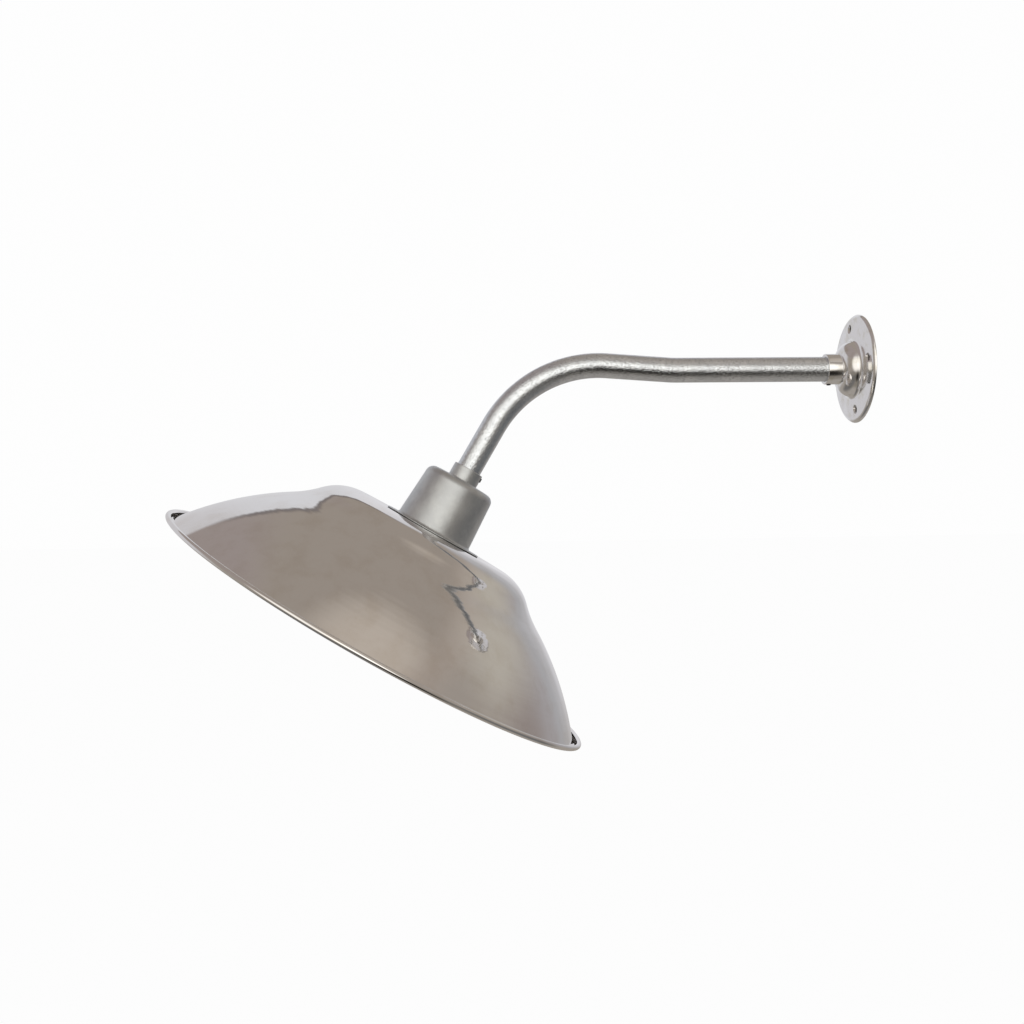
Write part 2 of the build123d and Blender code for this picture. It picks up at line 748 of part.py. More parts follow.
with BuildPart() as lamp_glass:
    with BuildSketch(lamp_profile):
        with BuildLine():
            neck = Line((glass_neck, cap_end - neck_overlap), (glass_neck, throat_level))
            throat = TangentArc(neck @ 1, globe_start, tangent=neck % 1)
            globe = TangentArc(throat @ 1, (0, bulb_level + bulb_radius), tangent=throat % 1)
            inner_skin((neck,), (throat, globe), glass_wall)
            Line(neck @ 0, across(neck, 0, glass_wall))
            Line(globe @ 1, across(globe, 1, glass_wall))
        make_face()
    revolve(axis=lamp_axis)
finish(lamp_glass, "lamp_glass")

# The stem inside the bulb: a flare at the neck, a stout glass rod and a thin post with a button.
stem_level = cap_end - neck_overlap
stem_flare = glass_neck - glass_wall - side_gap
flare_edge = stem_level + glass_wall
flare_top = stem_level + stem_flare_height
stem_top = stem_level + stem_length
button_level = stem_top + post_length

with BuildPart() as lamp_stem:
    with BuildSketch(lamp_profile):
        with BuildLine():
            Polyline((0, button_level), (0, stem_level), (stem_flare, stem_level), (stem_flare, flare_edge))
            RadiusArc((stem_flare, flare_edge), (stem_radius, flare_top), stem_flare)
            Polyline(
                (stem_radius, flare_top),
                (stem_radius, stem_top),
                (post_radius, stem_top),
                (post_radius, button_level),
                (0, button_level),
            )
        make_face()
    revolve(axis=lamp_axis)
    with Locations(lamp_frame.offset(button_level)):
        Sphere(button_radius)
finish(lamp_stem, "lamp_stem")

# The filament bows across the bulb. Two lead-in wires carry its ends, and three fine wires
# from the button hold it up.
filament_level = tip_level + filament_height

with BuildPart() as lamp_filament:
    with BuildLine(lamp_profile) as coil:
        ThreePointArc(
            (-filament_reach, filament_level),
            (0, filament_level + filament_bow),
            (filament_reach, filament_level),
        )
    with BuildSketch(Plane(coil.wires()[0] @ 0, z_dir=coil.wires()[0] % 0)):
        Circle(filament_radius)
    sweep(path=coil.wires()[0])
finish(lamp_filament, "lamp_filament")

coil_path = coil.wires()[0]
button_point = lamp_frame.from_local_coords((0, 0, button_level))
pinch_points = [lamp_frame.from_local_coords((side * wire_spread, 0, stem_top)) for side in (-1, 1)]
lead_in_runs = [(pinch_points[end], coil_path @ end, wire_radius) for end in (0, 1)]
button_gap = button_radius + wire_end_gap
support_runs = [(button_point, coil_path @ share, button_gap) for share in (0.2, 0.5, 0.8)]

with BuildPart() as lamp_support_wires:
    for start, end, start_gap in lead_in_runs + support_runs:
        reach = end - start
        with BuildSketch(Plane(start + reach.normalized() * start_gap, z_dir=reach)):
            Circle(wire_radius)
        extrude(amount=reach.length - start_gap - filament_radius - wire_end_gap)
finish(lamp_support_wires, "lamp_support_wires")
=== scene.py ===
import math

import bmesh
import bpy
import numpy as np
from mathutils import Matrix, Quaternion, Vector


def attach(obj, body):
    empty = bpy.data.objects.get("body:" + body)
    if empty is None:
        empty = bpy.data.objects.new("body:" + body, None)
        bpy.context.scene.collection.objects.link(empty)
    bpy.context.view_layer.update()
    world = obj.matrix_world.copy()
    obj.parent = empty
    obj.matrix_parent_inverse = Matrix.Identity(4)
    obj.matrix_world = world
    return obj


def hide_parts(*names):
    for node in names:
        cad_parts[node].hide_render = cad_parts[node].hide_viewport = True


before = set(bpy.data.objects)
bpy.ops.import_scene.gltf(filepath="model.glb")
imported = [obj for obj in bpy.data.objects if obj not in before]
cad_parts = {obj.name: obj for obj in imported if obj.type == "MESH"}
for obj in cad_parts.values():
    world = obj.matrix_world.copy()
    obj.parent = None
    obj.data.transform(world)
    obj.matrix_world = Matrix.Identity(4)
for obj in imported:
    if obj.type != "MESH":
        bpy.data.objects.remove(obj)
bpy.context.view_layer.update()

# ---------------------------------------------------------------- camera
# The photograph was taken from the right-hand side of the light, a metre off, at the height of
# the shade's crown.
eye = Vector((0.9973, -0.3784, -0.1226))
yaw, pitch, roll = 0.0643, -0.0022, -0.0142
forward = Vector((-math.cos(yaw) * math.cos(pitch), math.sin(yaw) * math.cos(pitch), math.sin(pitch)))
camera_data = bpy.data.cameras.new("camera")
camera_data.sensor_width = 36
camera_data.lens = 39.6
camera_data.clip_end = 200
camera = bpy.data.objects.new("camera", camera_data)
camera.location = eye
camera.rotation_mode = "QUATERNION"
camera.rotation_quaternion = forward.to_track_quat("-Z", "Y") @ Quaternion((0, 0, 1), roll)
bpy.context.scene.collection.objects.link(camera)
bpy.context.scene.camera = camera
bpy.context.scene.view_settings.view_transform = "Standard"


# ---------------------------------------------------------------- studio
# A white room as polished metal shows it: a warm grey ceiling with a dark edge, a pale wall
# round the light, a bright window beside the camera and a grey floor with a dark table. Only
# reflections see this room. The camera sees plain white, and so does clear glass.
class Field:
    """A socket in a node tree that takes part in sums like a number."""

    def __init__(self, nodes, socket):
        self.nodes = nodes
        self.socket = socket

    def sum(self, operation, *values):
        return self.nodes.add("ShaderNodeMath", {"operation": operation}, dict(enumerate(values)))

    def __add__(self, other):
        return self.sum("ADD", self, other)

    def __sub__(self, other):
        return self.sum("SUBTRACT", self, other)

    def __rsub__(self, other):
        return self.sum("SUBTRACT", other, self)

    def __mul__(self, other):
        return self.sum("MULTIPLY", self, other)

    def __truediv__(self, other):
        return self.sum("DIVIDE", self, other)

    __radd__ = __add__
    __rmul__ = __mul__


class Nodes:
    """A node tree being filled: add() takes a node's kind, its settings, then its sockets."""

    def __init__(self, tree):
        self.tree = tree
        tree.nodes.clear()

    def add(self, kind, settings=None, sockets=None, take=0):
        node = self.tree.nodes.new(kind)
        for key, value in (settings or {}).items():
            if key == "stops":
                while len(node.color_ramp.elements) < len(value):
                    node.color_ramp.elements.new(0.5)
                for element, (position, colour) in zip(node.color_ramp.elements, value):
                    element.position = position
                    element.color = colour
            else:
                setattr(node, key, value)
        for key, value in (sockets or {}).items():
            if isinstance(value, Field):
                self.tree.links.new(value.socket, node.inputs[key])
            else:
                node.inputs[key].default_value = value
        return Field(self, node.outputs[take]) if len(node.outputs) else None

    def mix(self, factor, under, over):
        """One colour over another."""
        return self.add("ShaderNodeMix", {"data_type": "RGBA"}, {0: factor, 6: under, 7: over}, 2)

    def step(self, value, low, high):
        """0 below low, 1 above high, and smooth between them."""
        return self.add("ShaderNodeMapRange", {"interpolation_type": "SMOOTHSTEP"},
                        {"Value": value, "From Min": low, "From Max": high})

    def run(self, value, *stops):
        """A colour that runs smoothly through (value, colour) stops."""
        colour = stops[0][1]
        for (low, _), (high, over) in zip(stops, stops[1:]):
            colour = self.mix(self.step(value, low, high), colour, over)
        return colour

    def larger(self, first, second):
        return first.sum("MAXIMUM", first, second)

    def root(self, value):
        return value.sum("SQRT", value)

    def place(self):
        """Where a point is, in metres from the flange's back."""
        return self.add("ShaderNodeTexCoord", take="Object")

    def noise(self, place, scale, detail, roughness=0.5):
        return self.add("ShaderNodeTexNoise", {}, {"Vector": place, "Scale": scale, "Detail": detail,
                                                   "Roughness": roughness})

    def relief(self, strength, distance, height):
        """A surface that is rough by a height, for a shader's Normal."""
        return self.add("ShaderNodeBump", {}, {"Strength": strength, "Distance": distance, "Height": height})

    def surface(self, sockets):
        """The whole material as one Principled shader."""
        skin = self.add("ShaderNodeBsdfPrincipled", {}, sockets)
        self.add("ShaderNodeOutputMaterial", {}, {"Surface": skin})


def tint(red, green, blue):
    """A display colour, 0 to 255, as the linear colour that a shader takes."""
    linear = [(c / 255 / 12.92 if c < 10.3 else ((c / 255 + 0.055) / 1.055) ** 2.4) for c in (red, green, blue)]
    return (*linear, 1.0)


def shown(red, green, blue):
    """The colour of a thing in the room that polished metal shows as this display colour."""
    return (*[share / 0.9 for share in tint(red, green, blue)[:3]], 1.0)


def new_material(name):
    """An empty material, and its node tree to fill."""
    material = bpy.data.materials.new(name)
    material.use_nodes = True
    return material, Nodes(material.node_tree)


world = bpy.data.worlds.new("studio")
bpy.context.scene.world = world
world.use_nodes = True
room = Nodes(world.node_tree)
heading = room.add("ShaderNodeTexCoord", take="Generated")
out_x, out_y, out_z = [room.add("ShaderNodeSeparateXYZ", {}, {0: heading}, axis) for axis in range(3)]
side_wall = room.run(out_y, (-0.35, shown(194, 192, 194)), (-0.15, shown(204, 204, 207)), (0.12, shown(212, 211, 214)),
                     (0.3, shown(196, 195, 198)), (0.47, shown(172, 171, 173)), (0.6, shown(161, 160, 162)),
                     (0.72, shown(155, 151, 152)), (0.92, shown(140, 131, 127)))
side_wall = room.mix(room.step(out_z, 0.05, 0.38) * room.step(out_y, 0.5, 0.78), side_wall, shown(173, 167, 157))
side_wall = room.mix(room.step(out_x, -0.35, 0.1), side_wall, shown(150, 142, 134))
below = room.mix(room.step(out_x, -0.15, 0.35), shown(152, 146, 139), shown(126, 120, 112))
below = room.mix(room.step(out_y, 0.35, 0.75) * room.step(out_x, -0.6, -0.3), below, shown(106, 105, 104))
below = room.mix(room.step(out_z * -1.0, 0.35, 0.6) * room.step(out_y * -1.0, 0.2, 0.55), below, shown(104, 102, 100))
below = room.mix(room.step(out_x * 0.78 - out_z * 0.62, 0.86, 0.97), below, shown(32, 30, 28))
side_wall = room.mix(room.step(out_z * -1.0, 0.05, 0.3), side_wall, below)
ceiling = room.mix(room.step(out_y * -1.0, 0.05, 0.3), shown(147, 138, 129), shown(147, 137, 133))
ceiling = room.mix(room.step(out_x * 0.4 + out_y * 0.5 + out_z * 0.77, 0.87, 1.0), ceiling, shown(178, 168, 157))
ceiling = room.mix(room.step(out_z * -1.0, -0.72, -0.52) * room.step(out_y, 0.4, 0.7), ceiling, shown(162, 150, 140))
ceiling = room.mix(room.step(out_x, 0.35, 0.85), ceiling, shown(190, 184, 178))
ceiling_edge = out_z - out_y * 0.15 + room.step(out_y, 0.2, 0.65) * 0.25 - 0.69
blur = room.step(out_y, 0.25, 0.6) * 0.13 + 0.02
surround = room.mix(room.step(ceiling_edge, blur * -1.0, blur), side_wall, ceiling)
edge_line = room.step(ceiling_edge, -0.035, -0.005) * (1 - room.step(ceiling_edge, 0.0, 0.045))
edge_line = edge_line * room.step(out_y, -0.38, -0.2) * (1 - room.step(out_y, 0.1, 0.4))
edge_line = edge_line * room.step(out_x * -1.0, 0.1, 0.4)
surround = room.mix(edge_line * 0.9, surround, shown(108, 101, 99))
window = room.step(out_x * 0.985 + out_z * 0.15, 0.84, 0.985)
second = room.step(out_x * 0.86 - out_y * 0.44 + out_z * 0.26, 0.8, 0.96)
window = room.larger(window, second * 0.7)
surround = room.mix(window, surround, (1.38, 1.32, 1.22, 1.0))
camera_ray = room.add("ShaderNodeLightPath", take="Is Camera Ray")
transmission_ray = room.add("ShaderNodeLightPath", take="Is Transmission Ray")
glossy_ray = room.add("ShaderNodeLightPath", take="Is Glossy Ray")
seen = room.mix(glossy_ray, tint(222, 222, 222), surround)
seen = room.mix(room.larger(camera_ray, transmission_ray), seen, (0.988, 0.988, 0.988, 1.0))
background = room.add("ShaderNodeBackground", {}, {"Color": seen, "Strength": 1.0})
room.add("ShaderNodeOutputWorld", {}, {"Surface": background})

key_data = bpy.data.lights.new("softbox", "AREA")
key_data.shape = "RECTANGLE"
key_data.size, key_data.size_y = 1.6, 1.2
key_data.energy = 14
key = bpy.data.objects.new("softbox", key_data)
key.location = (2.2, -1.4, 1.6)
key.rotation_mode = "QUATERNION"
key.rotation_quaternion = (Vector((0, -0.35, -0.12)) - key.location).to_track_quat("-Z", "Y")
key.visible_glossy = False
bpy.context.scene.collection.objects.link(key)

floor_mesh = bpy.data.meshes.new("studio_floor")
floor_mesh.from_pydata([(-40, -40, -1.3), (40, -40, -1.3), (40, 40, -1.3), (-40, 40, -1.3)], [], [(0, 1, 2, 3)])
studio_floor = bpy.data.objects.new("studio_floor", floor_mesh)
bpy.context.scene.collection.objects.link(studio_floor)
floor_material, pale = new_material("pale floor")
lit = pale.add("ShaderNodeBsdfDiffuse", {}, {"Color": tint(246, 246, 246)})
plain = pale.add("ShaderNodeEmission", {}, {"Color": (0.988, 0.988, 0.988, 1.0), "Strength": 1.0})
unseen = pale.add("ShaderNodeBsdfTransparent")
path_camera = pale.add("ShaderNodeLightPath", take="Is Camera Ray")
path_glossy = pale.add("ShaderNodeLightPath", take="Is Glossy Ray")
path_clear = pale.add("ShaderNodeLightPath", take="Is Transmission Ray")
body = pale.add("ShaderNodeMixShader", {}, {0: path_glossy, 1: lit, 2: unseen})
body = pale.add("ShaderNodeMixShader", {}, {0: (path_camera + path_clear) * 0.975, 1: body, 2: plain})
pale.add("ShaderNodeOutputMaterial", {}, {"Surface": body})
floor_mesh.materials.append(floor_material)


# ---------------------------------------------------------------- wall flange
# One casting, polished and nickel plated: a round plate with a rolled-over edge, a dome, and a
# collar bored for the arm. Four countersunk holes take the wall screws; their bores are painted shade.
def arc(start, end, radius, steps=16):
    """Points of the arc from start to end. It bulges to the left of the way for a radius above 0."""
    start, end = np.array(start[:2], float), np.array(end[:2], float)
    chord = end - start
    length = np.hypot(*chord)
    across = np.array([-chord[1], chord[0]]) / length
    rise = math.sqrt(radius**2 - length**2 / 4)
    centre = (start + end) / 2 - across * math.copysign(rise, radius)
    first = math.atan2(*(start - centre)[::-1])
    turn = 2 * math.asin(length / 2 / abs(radius)) * -math.copysign(1, radius)
    angles = first + np.linspace(0, turn, steps + 1)
    return [tuple(centre + abs(radius) * np.array([math.cos(a), math.sin(a)])) for a in angles]


def rounded(corners, steps=6):
    """The closed outline through (radius, distance, rounding) corners, with each rounding cut in."""
    points = []
    for index, corner in enumerate(corners):
        here = np.array(corner[:2], float)
        if len(corner) < 3:
            points.append(tuple(here))
            continue
        before = np.array(corners[index - 1][:2], float) - here
        after = np.array(corners[(index + 1) % len(corners)][:2], float) - here
        before, after = before / np.hypot(*before), after / np.hypot(*after)
        half = math.acos(np.clip(before @ after, -1, 1)) / 2
        reach = corner[2] / math.tan(half)
        side = 1 if before[0] * after[1] - before[1] * after[0] > 0 else -1
        points += arc(here + before * reach, here + after * reach, corner[2] * side, steps)
    return points


def spun(name, outline, to_place, material, sides=192, ripple=None, crease=28):
    """A turned piece: a closed outline of (radius, distance) in mm, spun round and put in place."""
    outline = np.array(outline, float)
    area = np.sum(outline[:, 0] * np.roll(outline[:, 1], -1) - np.roll(outline[:, 0], -1) * outline[:, 1])
    outline = outline if area > 0 else outline[::-1]
    turn = np.arange(sides) * 2 * math.pi / sides
    radius = np.repeat(outline[None, :, 0], sides, 0)
    if ripple:
        radius = radius - ripple(radius, outline[None, :, 1], turn[:, None]) * (radius > 0)
    points = np.stack([radius * np.cos(turn)[:, None], radius * np.sin(turn)[:, None],
                       np.repeat(outline[None, :, 1], sides, 0)], -1).reshape(-1, 3)
    count = len(outline)
    faces = []
    for side in range(sides):
        a, b = side * count, (side + 1) % sides * count
        for i in range(count):
            j = (i + 1) % count
            if outline[i, 0] > 0 or outline[j, 0] > 0:
                faces.append((a + i, b + i, b + j, a + j))
    return solid(name, points, faces, to_place, material, crease)


def solid(name, points, faces, to_place, material, crease=28):
    """A mesh piece from points in mm, put in place, with its doubles merged and its edges kept."""
    mesh = bpy.data.meshes.new(name)
    mesh.from_pydata([to_place @ Vector(p) for p in points], [], faces)
    form = bmesh.new()
    form.from_mesh(mesh)
    bmesh.ops.remove_doubles(form, verts=form.verts, dist=2e-6)
    bmesh.ops.dissolve_degenerate(form, edges=form.edges, dist=1e-7)
    bmesh.ops.recalc_face_normals(form, faces=form.faces)
    form.to_mesh(mesh)
    form.free()
    if material:
        mesh.materials.append(material)
    piece = bpy.data.objects.new(name, mesh)
    bpy.context.scene.collection.objects.link(piece)
    smooth(piece, crease)
    return piece


def smooth(piece, crease):
    """Smooth faces, with the edges that turn by more than the crease angle kept sharp."""
    mesh = piece.data
    mesh.polygons.foreach_set("use_smooth", [True] * len(mesh.polygons))
    mesh.set_sharp_from_angle(angle=math.radians(crease))


def machined(piece, *tools, crease=28):
    """The piece with tools taken off it or added to it, each given as (operation, object)."""
    for operation, tool in tools:
        cut = piece.modifiers.new("cut", "BOOLEAN")
        cut.operation = operation
        cut.object = tool
        cut.solver = "EXACT"
    bpy.context.view_layer.update()
    result = bpy.data.meshes.new_from_object(piece.evaluated_get(bpy.context.evaluated_depsgraph_get()))
    piece.modifiers.clear()
    old, piece.data = piece.data, result
    bpy.data.meshes.remove(old)
    smooth(piece, crease)
    for _, tool in tools:
        bpy.data.objects.remove(tool)
    return piece


def bar(outline, *places, sides=40):
    """A tool for machined(): the same turned shape at one place or at several."""
    tools = [spun("tool", outline, place, None, sides) for place in places]
    joined = bmesh.new()
    for tool in tools:
        joined.from_mesh(tool.data)
    joined.to_mesh(tools[0].data)
    joined.free()
    for tool in tools[1:]:
        bpy.data.objects.remove(tool)
    return tools[0]


at = Matrix.Translation
to_wall = Matrix(((1, 0, 0, 0), (0, 0, -1, 0), (0, 1, 0, 0), (0, 0, 0, 1))) @ Matrix.Scale(0.001, 4)
bolt_circle, bolt_turn = 37.5, 8.5
collar_radius, collar_end = 13.68, 29.7
arm_bore, screw_tip = 11.15, 11.2  # a set screw's point stops just off the arm
screw_proud = 0.8
flange_hollow = [(20, 9.5, 4), (20, 0, 0.4)]
flange_edge = [(48.49, 0, 0.3), *arc((48.49, 0.8), (44, 3.5), -4.6, 10), *arc((44, 3.5), (28.6, 4.38), -260, 12)]
flange_dome = [*arc((28.6, 4.4), (24.73, 7.32), 4, 8), *arc((24.73, 7.32), (14.63, 17), -13.5, 20)]
collar = [(14.18, 17.05, 0.1), (collar_radius, 16.7), (collar_radius, collar_end, 0.6), (arm_bore, collar_end, 0.35),
          (arm_bore, 9.5, 0.3)]
nickel, plating = new_material("polished nickel")
place = plating.place()
swell = plating.noise(place, 55.0, 1.0)
grain = plating.noise(place, 900.0, 3.0)
patch = plating.noise(place, 130.0, 4.0, 0.6)
bump = plating.relief(0.35, 0.0012, swell + grain * 0.02)
colour = plating.mix(plating.step(patch, 0.45, 0.75), tint(246, 246, 247), tint(232, 230, 222))
east, up = [plating.add("ShaderNodeSeparateXYZ", {}, {0: place}, axis) for axis in (0, 2)]
slant = math.radians(bolt_turn)
reach, rise = east * math.cos(slant) + up * math.sin(slant), up * math.cos(slant) - east * math.sin(slant)
# The cross of four holes is folded on to one, so this is the distance from the nearest hole.
folded = reach.sum("ABSOLUTE", reach), rise.sum("ABSOLUTE", rise)
outward, sideways = plating.larger(*folded) - bolt_circle / 1000, folded[0].sum("MINIMUM", *folded)
from_bore = plating.root(outward * outward + sideways * sideways)
# Painted shade: the bores of the four holes are darkened and made rougher.
bore_shade = 1 - plating.step(from_bore, 0.0024, 0.0034)
plating.surface({
    "Base Color": plating.mix(bore_shade, colour, tint(92, 88, 82)), "Metallic": 1.0,
    "Roughness": patch * 0.12 + 0.05 + bore_shade * 0.35, "Normal": bump})

bolt_holes = [math.radians(bolt_turn + 90 * turn) for turn in range(4)]
countersink = bar([(0, -1), (2.6, -1), (2.6, 2.3), (4.7, 4.4), (6.2, 5.9), (0, 5.9)],
                  *[to_wall @ at((bolt_circle * math.cos(a), bolt_circle * math.sin(a), 0)) for a in bolt_holes])
collar_screw_place = to_wall @ at((0, -collar_radius, 26)) @ Matrix.Rotation(math.pi / 2, 4, "X")
screw_hole = bar([(0, 2), (0, -3.2), (2, -3.2), (2, 2)], collar_screw_place)
flange = spun("wall_flange_casting", rounded(flange_hollow + flange_edge + flange_dome + collar), to_wall, nickel, 240)
machined(flange, ("DIFFERENCE", countersink), ("DIFFERENCE", screw_hole))
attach(flange, "wall_mount")
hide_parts("wall_flange")


# ---------------------------------------------------------------- arm
# Seven-eighths inch steel tube, galvanised, bent twice on a tube bender. It slides into the
# flange's collar and into the housing's hub. The zinc coat is bright but grainy.
def arm_line(start, end):
    """Points (distance along, y, z, heading) of the arm, from start out of the wall to end past the housing."""
    stops = [(start, -start, 0.0, 0.0)]

    def walk(length, turn, steps):
        for _ in range(steps):
            along, y, z, heading = stops[-1]
            middle = heading + turn / steps / 2
            step = length / steps
            reach = step if not turn else 2 * step / (turn / steps) * math.sin(turn / steps / 2)
            y, z = y - reach * math.cos(middle), z + reach * math.sin(middle)
            stops.append((along + step, y, z, heading + turn / steps))

    rise, droop = math.radians(4.2), math.radians(-59.3)
    walk(164.2 - start, 0, 24)
    walk(120 * rise, rise, 8)
    walk(54.8, 0, 8)
    walk(109.2 * (rise - droop), droop - rise, 64)
    walk(109.3 + end, 0, 16)
    return stops


def tube(name, path, rings, material, sides=96, crease=28):
    """A tube along a path in the plane x = 0, with its wall closed at both ends."""
    points, faces = [], []
    count = len(rings)
    for _, y, z, heading in path:
        ahead = np.array([0, -math.cos(heading), math.sin(heading)])
        above = np.array([0, math.sin(heading), math.cos(heading)])
        for side in range(sides):
            turn = side * 2 * math.pi / sides
            out = np.array([math.cos(turn), 0, 0]) + above * math.sin(turn)
            points += [tuple(np.array([0, y, z]) + out * radius) for radius in rings]
    around = sides * count
    for index in range(len(path) - 1):
        for side in range(sides):
            a, b = index * around + side * count, index * around + (side + 1) % sides * count
            for ring in range(count):
                faces.append((a + ring, b + ring, b + ring + around, a + ring + around))
    for end in (0, (len(path) - 1) * around):
        for side in range(sides):
            a, b = end + side * count, end + (side + 1) % sides * count
            faces.append((a, b, b + 1, a + 1))
    return solid(name, points, faces, Matrix.Scale(0.001, 4), material, crease)


def surface_map(piece, path, radius):
    """A UV map in metres: round the tube, and along it."""
    line = np.array([(y, z) for _, y, z, _ in path]) / 1000
    steps = np.array([along for along, *_ in path]) / 1000
    headings = np.array([heading for *_, heading in path])
    layer = piece.data.uv_layers.new(name="surface")
    for polygon in piece.data.polygons:
        turns = []
        for loop in polygon.loop_indices:
            place = np.array(piece.data.vertices[piece.data.loops[loop].vertex_index].co)
            near = int(np.argmin(np.hypot(*(line - place[1:]).T)))
            above = (place[1:] - line[near]) @ np.array([math.sin(headings[near]), math.cos(headings[near])])
            turns.append((math.atan2(above, place[0]), steps[near]))
        wrap = max(t for t, _ in turns) - min(t for t, _ in turns) > math.pi
        for loop, (turn, along) in zip(polygon.loop_indices, turns):
            turn += 2 * math.pi if wrap and turn < 0 else 0
            layer.data[loop].uv = (turn * radius / 1000, along)


zinc, coat = new_material("galvanised steel")
place = coat.add("ShaderNodeUVMap", {"uv_map": "surface"})
drawn = coat.add("ShaderNodeMapping", {}, {"Vector": place, "Scale": (1.0, 0.4, 1.0)})
grain = coat.noise(drawn, 900.0, 4.0, 0.7)
pits = coat.noise(place, 380.0, 3.0)
patch = coat.noise(place, 60.0, 5.0, 0.65)
bump = coat.relief(0.8, 0.00045, grain * 0.7 + pits * 0.7)
colour = coat.mix(coat.step(patch, 0.35, 0.7), tint(223, 228, 234), tint(236, 241, 246))
colour = coat.mix(coat.step(grain, 0.52, 0.7) * 0.75, colour, tint(166, 171, 177))
coat.surface({
    "Base Color": colour, "Metallic": 1.0, "Roughness": grain * 0.1 + 0.06, "Normal": bump})

arm_path = arm_line(10, -51.6)
arm_radius, arm_inside = 11.1, 8.9
arm = tube("bent_tube_arm", arm_path, (arm_radius, arm_inside), zinc)
surface_map(arm, arm_path, arm_radius)
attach(arm, "arm")
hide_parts("gooseneck_arm")

_, lamp_y, lamp_z, lamp_heading = arm_line(10, 0)[-1]
ahead = Vector((0, -math.cos(lamp_heading), math.sin(lamp_heading)))
aside = ahead.cross(Vector((1, 0, 0)))
lamp_turn = Matrix(((1, 0, 0), aside, ahead)).transposed().to_4x4()
to_lamp = at((0, lamp_y / 1000, lamp_z / 1000)) @ lamp_turn @ Matrix.Scale(0.001, 4)


# ---------------------------------------------------------------- collar set screw
# A cup-point grub screw, blackened steel, with a hexagon socket. Two are used: one holds the arm
# in the flange's collar and the other in the housing's hub.
def black_steel():
    """Blackened steel with worn, brighter grain."""
    material, steel = new_material("blackened steel")
    place = steel.place()
    wear = steel.noise(place, 1400.0, 3.0)
    bump = steel.relief(0.2, 0.0002, wear)
    steel.surface({
        "Base Color": steel.mix(steel.step(wear, 0.5, 0.75), tint(58, 56, 58), tint(104, 100, 98)),
        "Metallic": 0.9, "Roughness": wear * 0.2 + 0.25, "Normal": bump})
    return material


def grub_screw(name, to_place, length, material):
    """A grub screw of a length, whose socket end stands proud of z = 0 and whose cup point is below."""
    tip = screw_proud - length
    outline = [(0, tip + 0.4), (0.9, tip), (1.25, tip), (1.95, tip + 0.7), (1.95, screw_proud - 0.35),
               (1.6, screw_proud), (0, screw_proud)]
    screw = spun(name, outline, to_place, material, 48)
    hexagon = [(1.155 * math.cos(k * math.pi / 3), 1.155 * math.sin(k * math.pi / 3)) for k in range(6)]
    points = [(x, y, z) for z in (-0.9, 1.6) for x, y in hexagon]
    sides = [(k, (k + 1) % 6, (k + 1) % 6 + 6, k + 6) for k in range(6)]
    socket = solid("tool", points, [tuple(range(5, -1, -1)), tuple(range(6, 12)), *sides], to_place, None)
    return machined(screw, ("DIFFERENCE", socket))


grub_steel = black_steel()
collar_screw = grub_screw("collar_grub_screw", collar_screw_place, collar_radius + screw_proud - screw_tip, grub_steel)
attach(collar_screw, "wall_mount")
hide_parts("flange_set_screw")


# ---------------------------------------------------------------- wire bushings
# Two nylon rings, moulded, pressed into the ends of the arm so that its cut edge can't
# chafe the leads.
def finish_node(name, material):
    """A CAD piece that keeps its shape and takes a new material."""
    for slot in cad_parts[name].material_slots:
        slot.material = material


nylon, moulded = new_material("moulded nylon")
place = moulded.place()
cloud = moulded.noise(place, 260.0, 2.0)
bump = moulded.relief(0.25, 0.0002, cloud)
moulded.surface({
    "Base Color": moulded.mix(cloud, tint(226, 222, 208), tint(240, 238, 230)), "Roughness": cloud * 0.2 + 0.35,
    "Subsurface Weight": 0.15, "Subsurface Scale": 0.002, "Normal": bump})
for name in ("wire_bushing_wall", "wire_bushing_lamp"):
    finish_node(name, nylon)


# ---------------------------------------------------------------- housing
# One casting, bead blasted to a satin grey: a cup with a small hub for the arm on its back
# and a broad flange round its mouth, with painted shade on its edge at the foot. Four posts inside take screws.
def lamp_space(nodes):
    """The lamp's own space in a material: radius, distance along its axis and turn, and the place itself."""
    place = nodes.place()
    start = to_lamp.translation
    shares = [nodes.add("ShaderNodeVectorMath", {"operation": "DOT_PRODUCT"}, {0: place, 1: direction}, "Value")
              - start.dot(direction) for direction in (Vector((1, 0, 0)), aside, ahead)]
    across, over, along = shares
    radius = nodes.root(across * across + over * over)
    return radius, along, over.sum("ARCTAN2", over, across), place


blasted, cast = new_material("blasted casting")
radius, along, turn, place = lamp_space(cast)
grain = cast.noise(place, 1100.0, 4.0, 0.65)
patch = cast.noise(place, 70.0, 4.0, 0.6)
lathe = cast.add("ShaderNodeTexNoise", {"noise_dimensions": "1D"}, {
    "W": along * 5200.0 + radius * 3400.0, "Detail": 2.0})
bump = cast.relief(0.4, 0.0003, grain + lathe * 0.5)
colour = cast.mix(cast.step(patch, 0.35, 0.7), tint(202, 206, 209), tint(216, 220, 222))
# Painted shade: the lower part of the flange's edge is darkened, standing in for the shadow in the gap over the gasket.
foot = cast.step(along, -0.0022, -0.0018) * cast.step(radius, 0.0444, 0.0449)
colour = cast.mix(foot, colour, tint(44, 43, 42))
cast.surface({
    "Base Color": colour, "Metallic": 1.0, "Roughness": patch * 0.14 + 0.26, "Normal": bump})

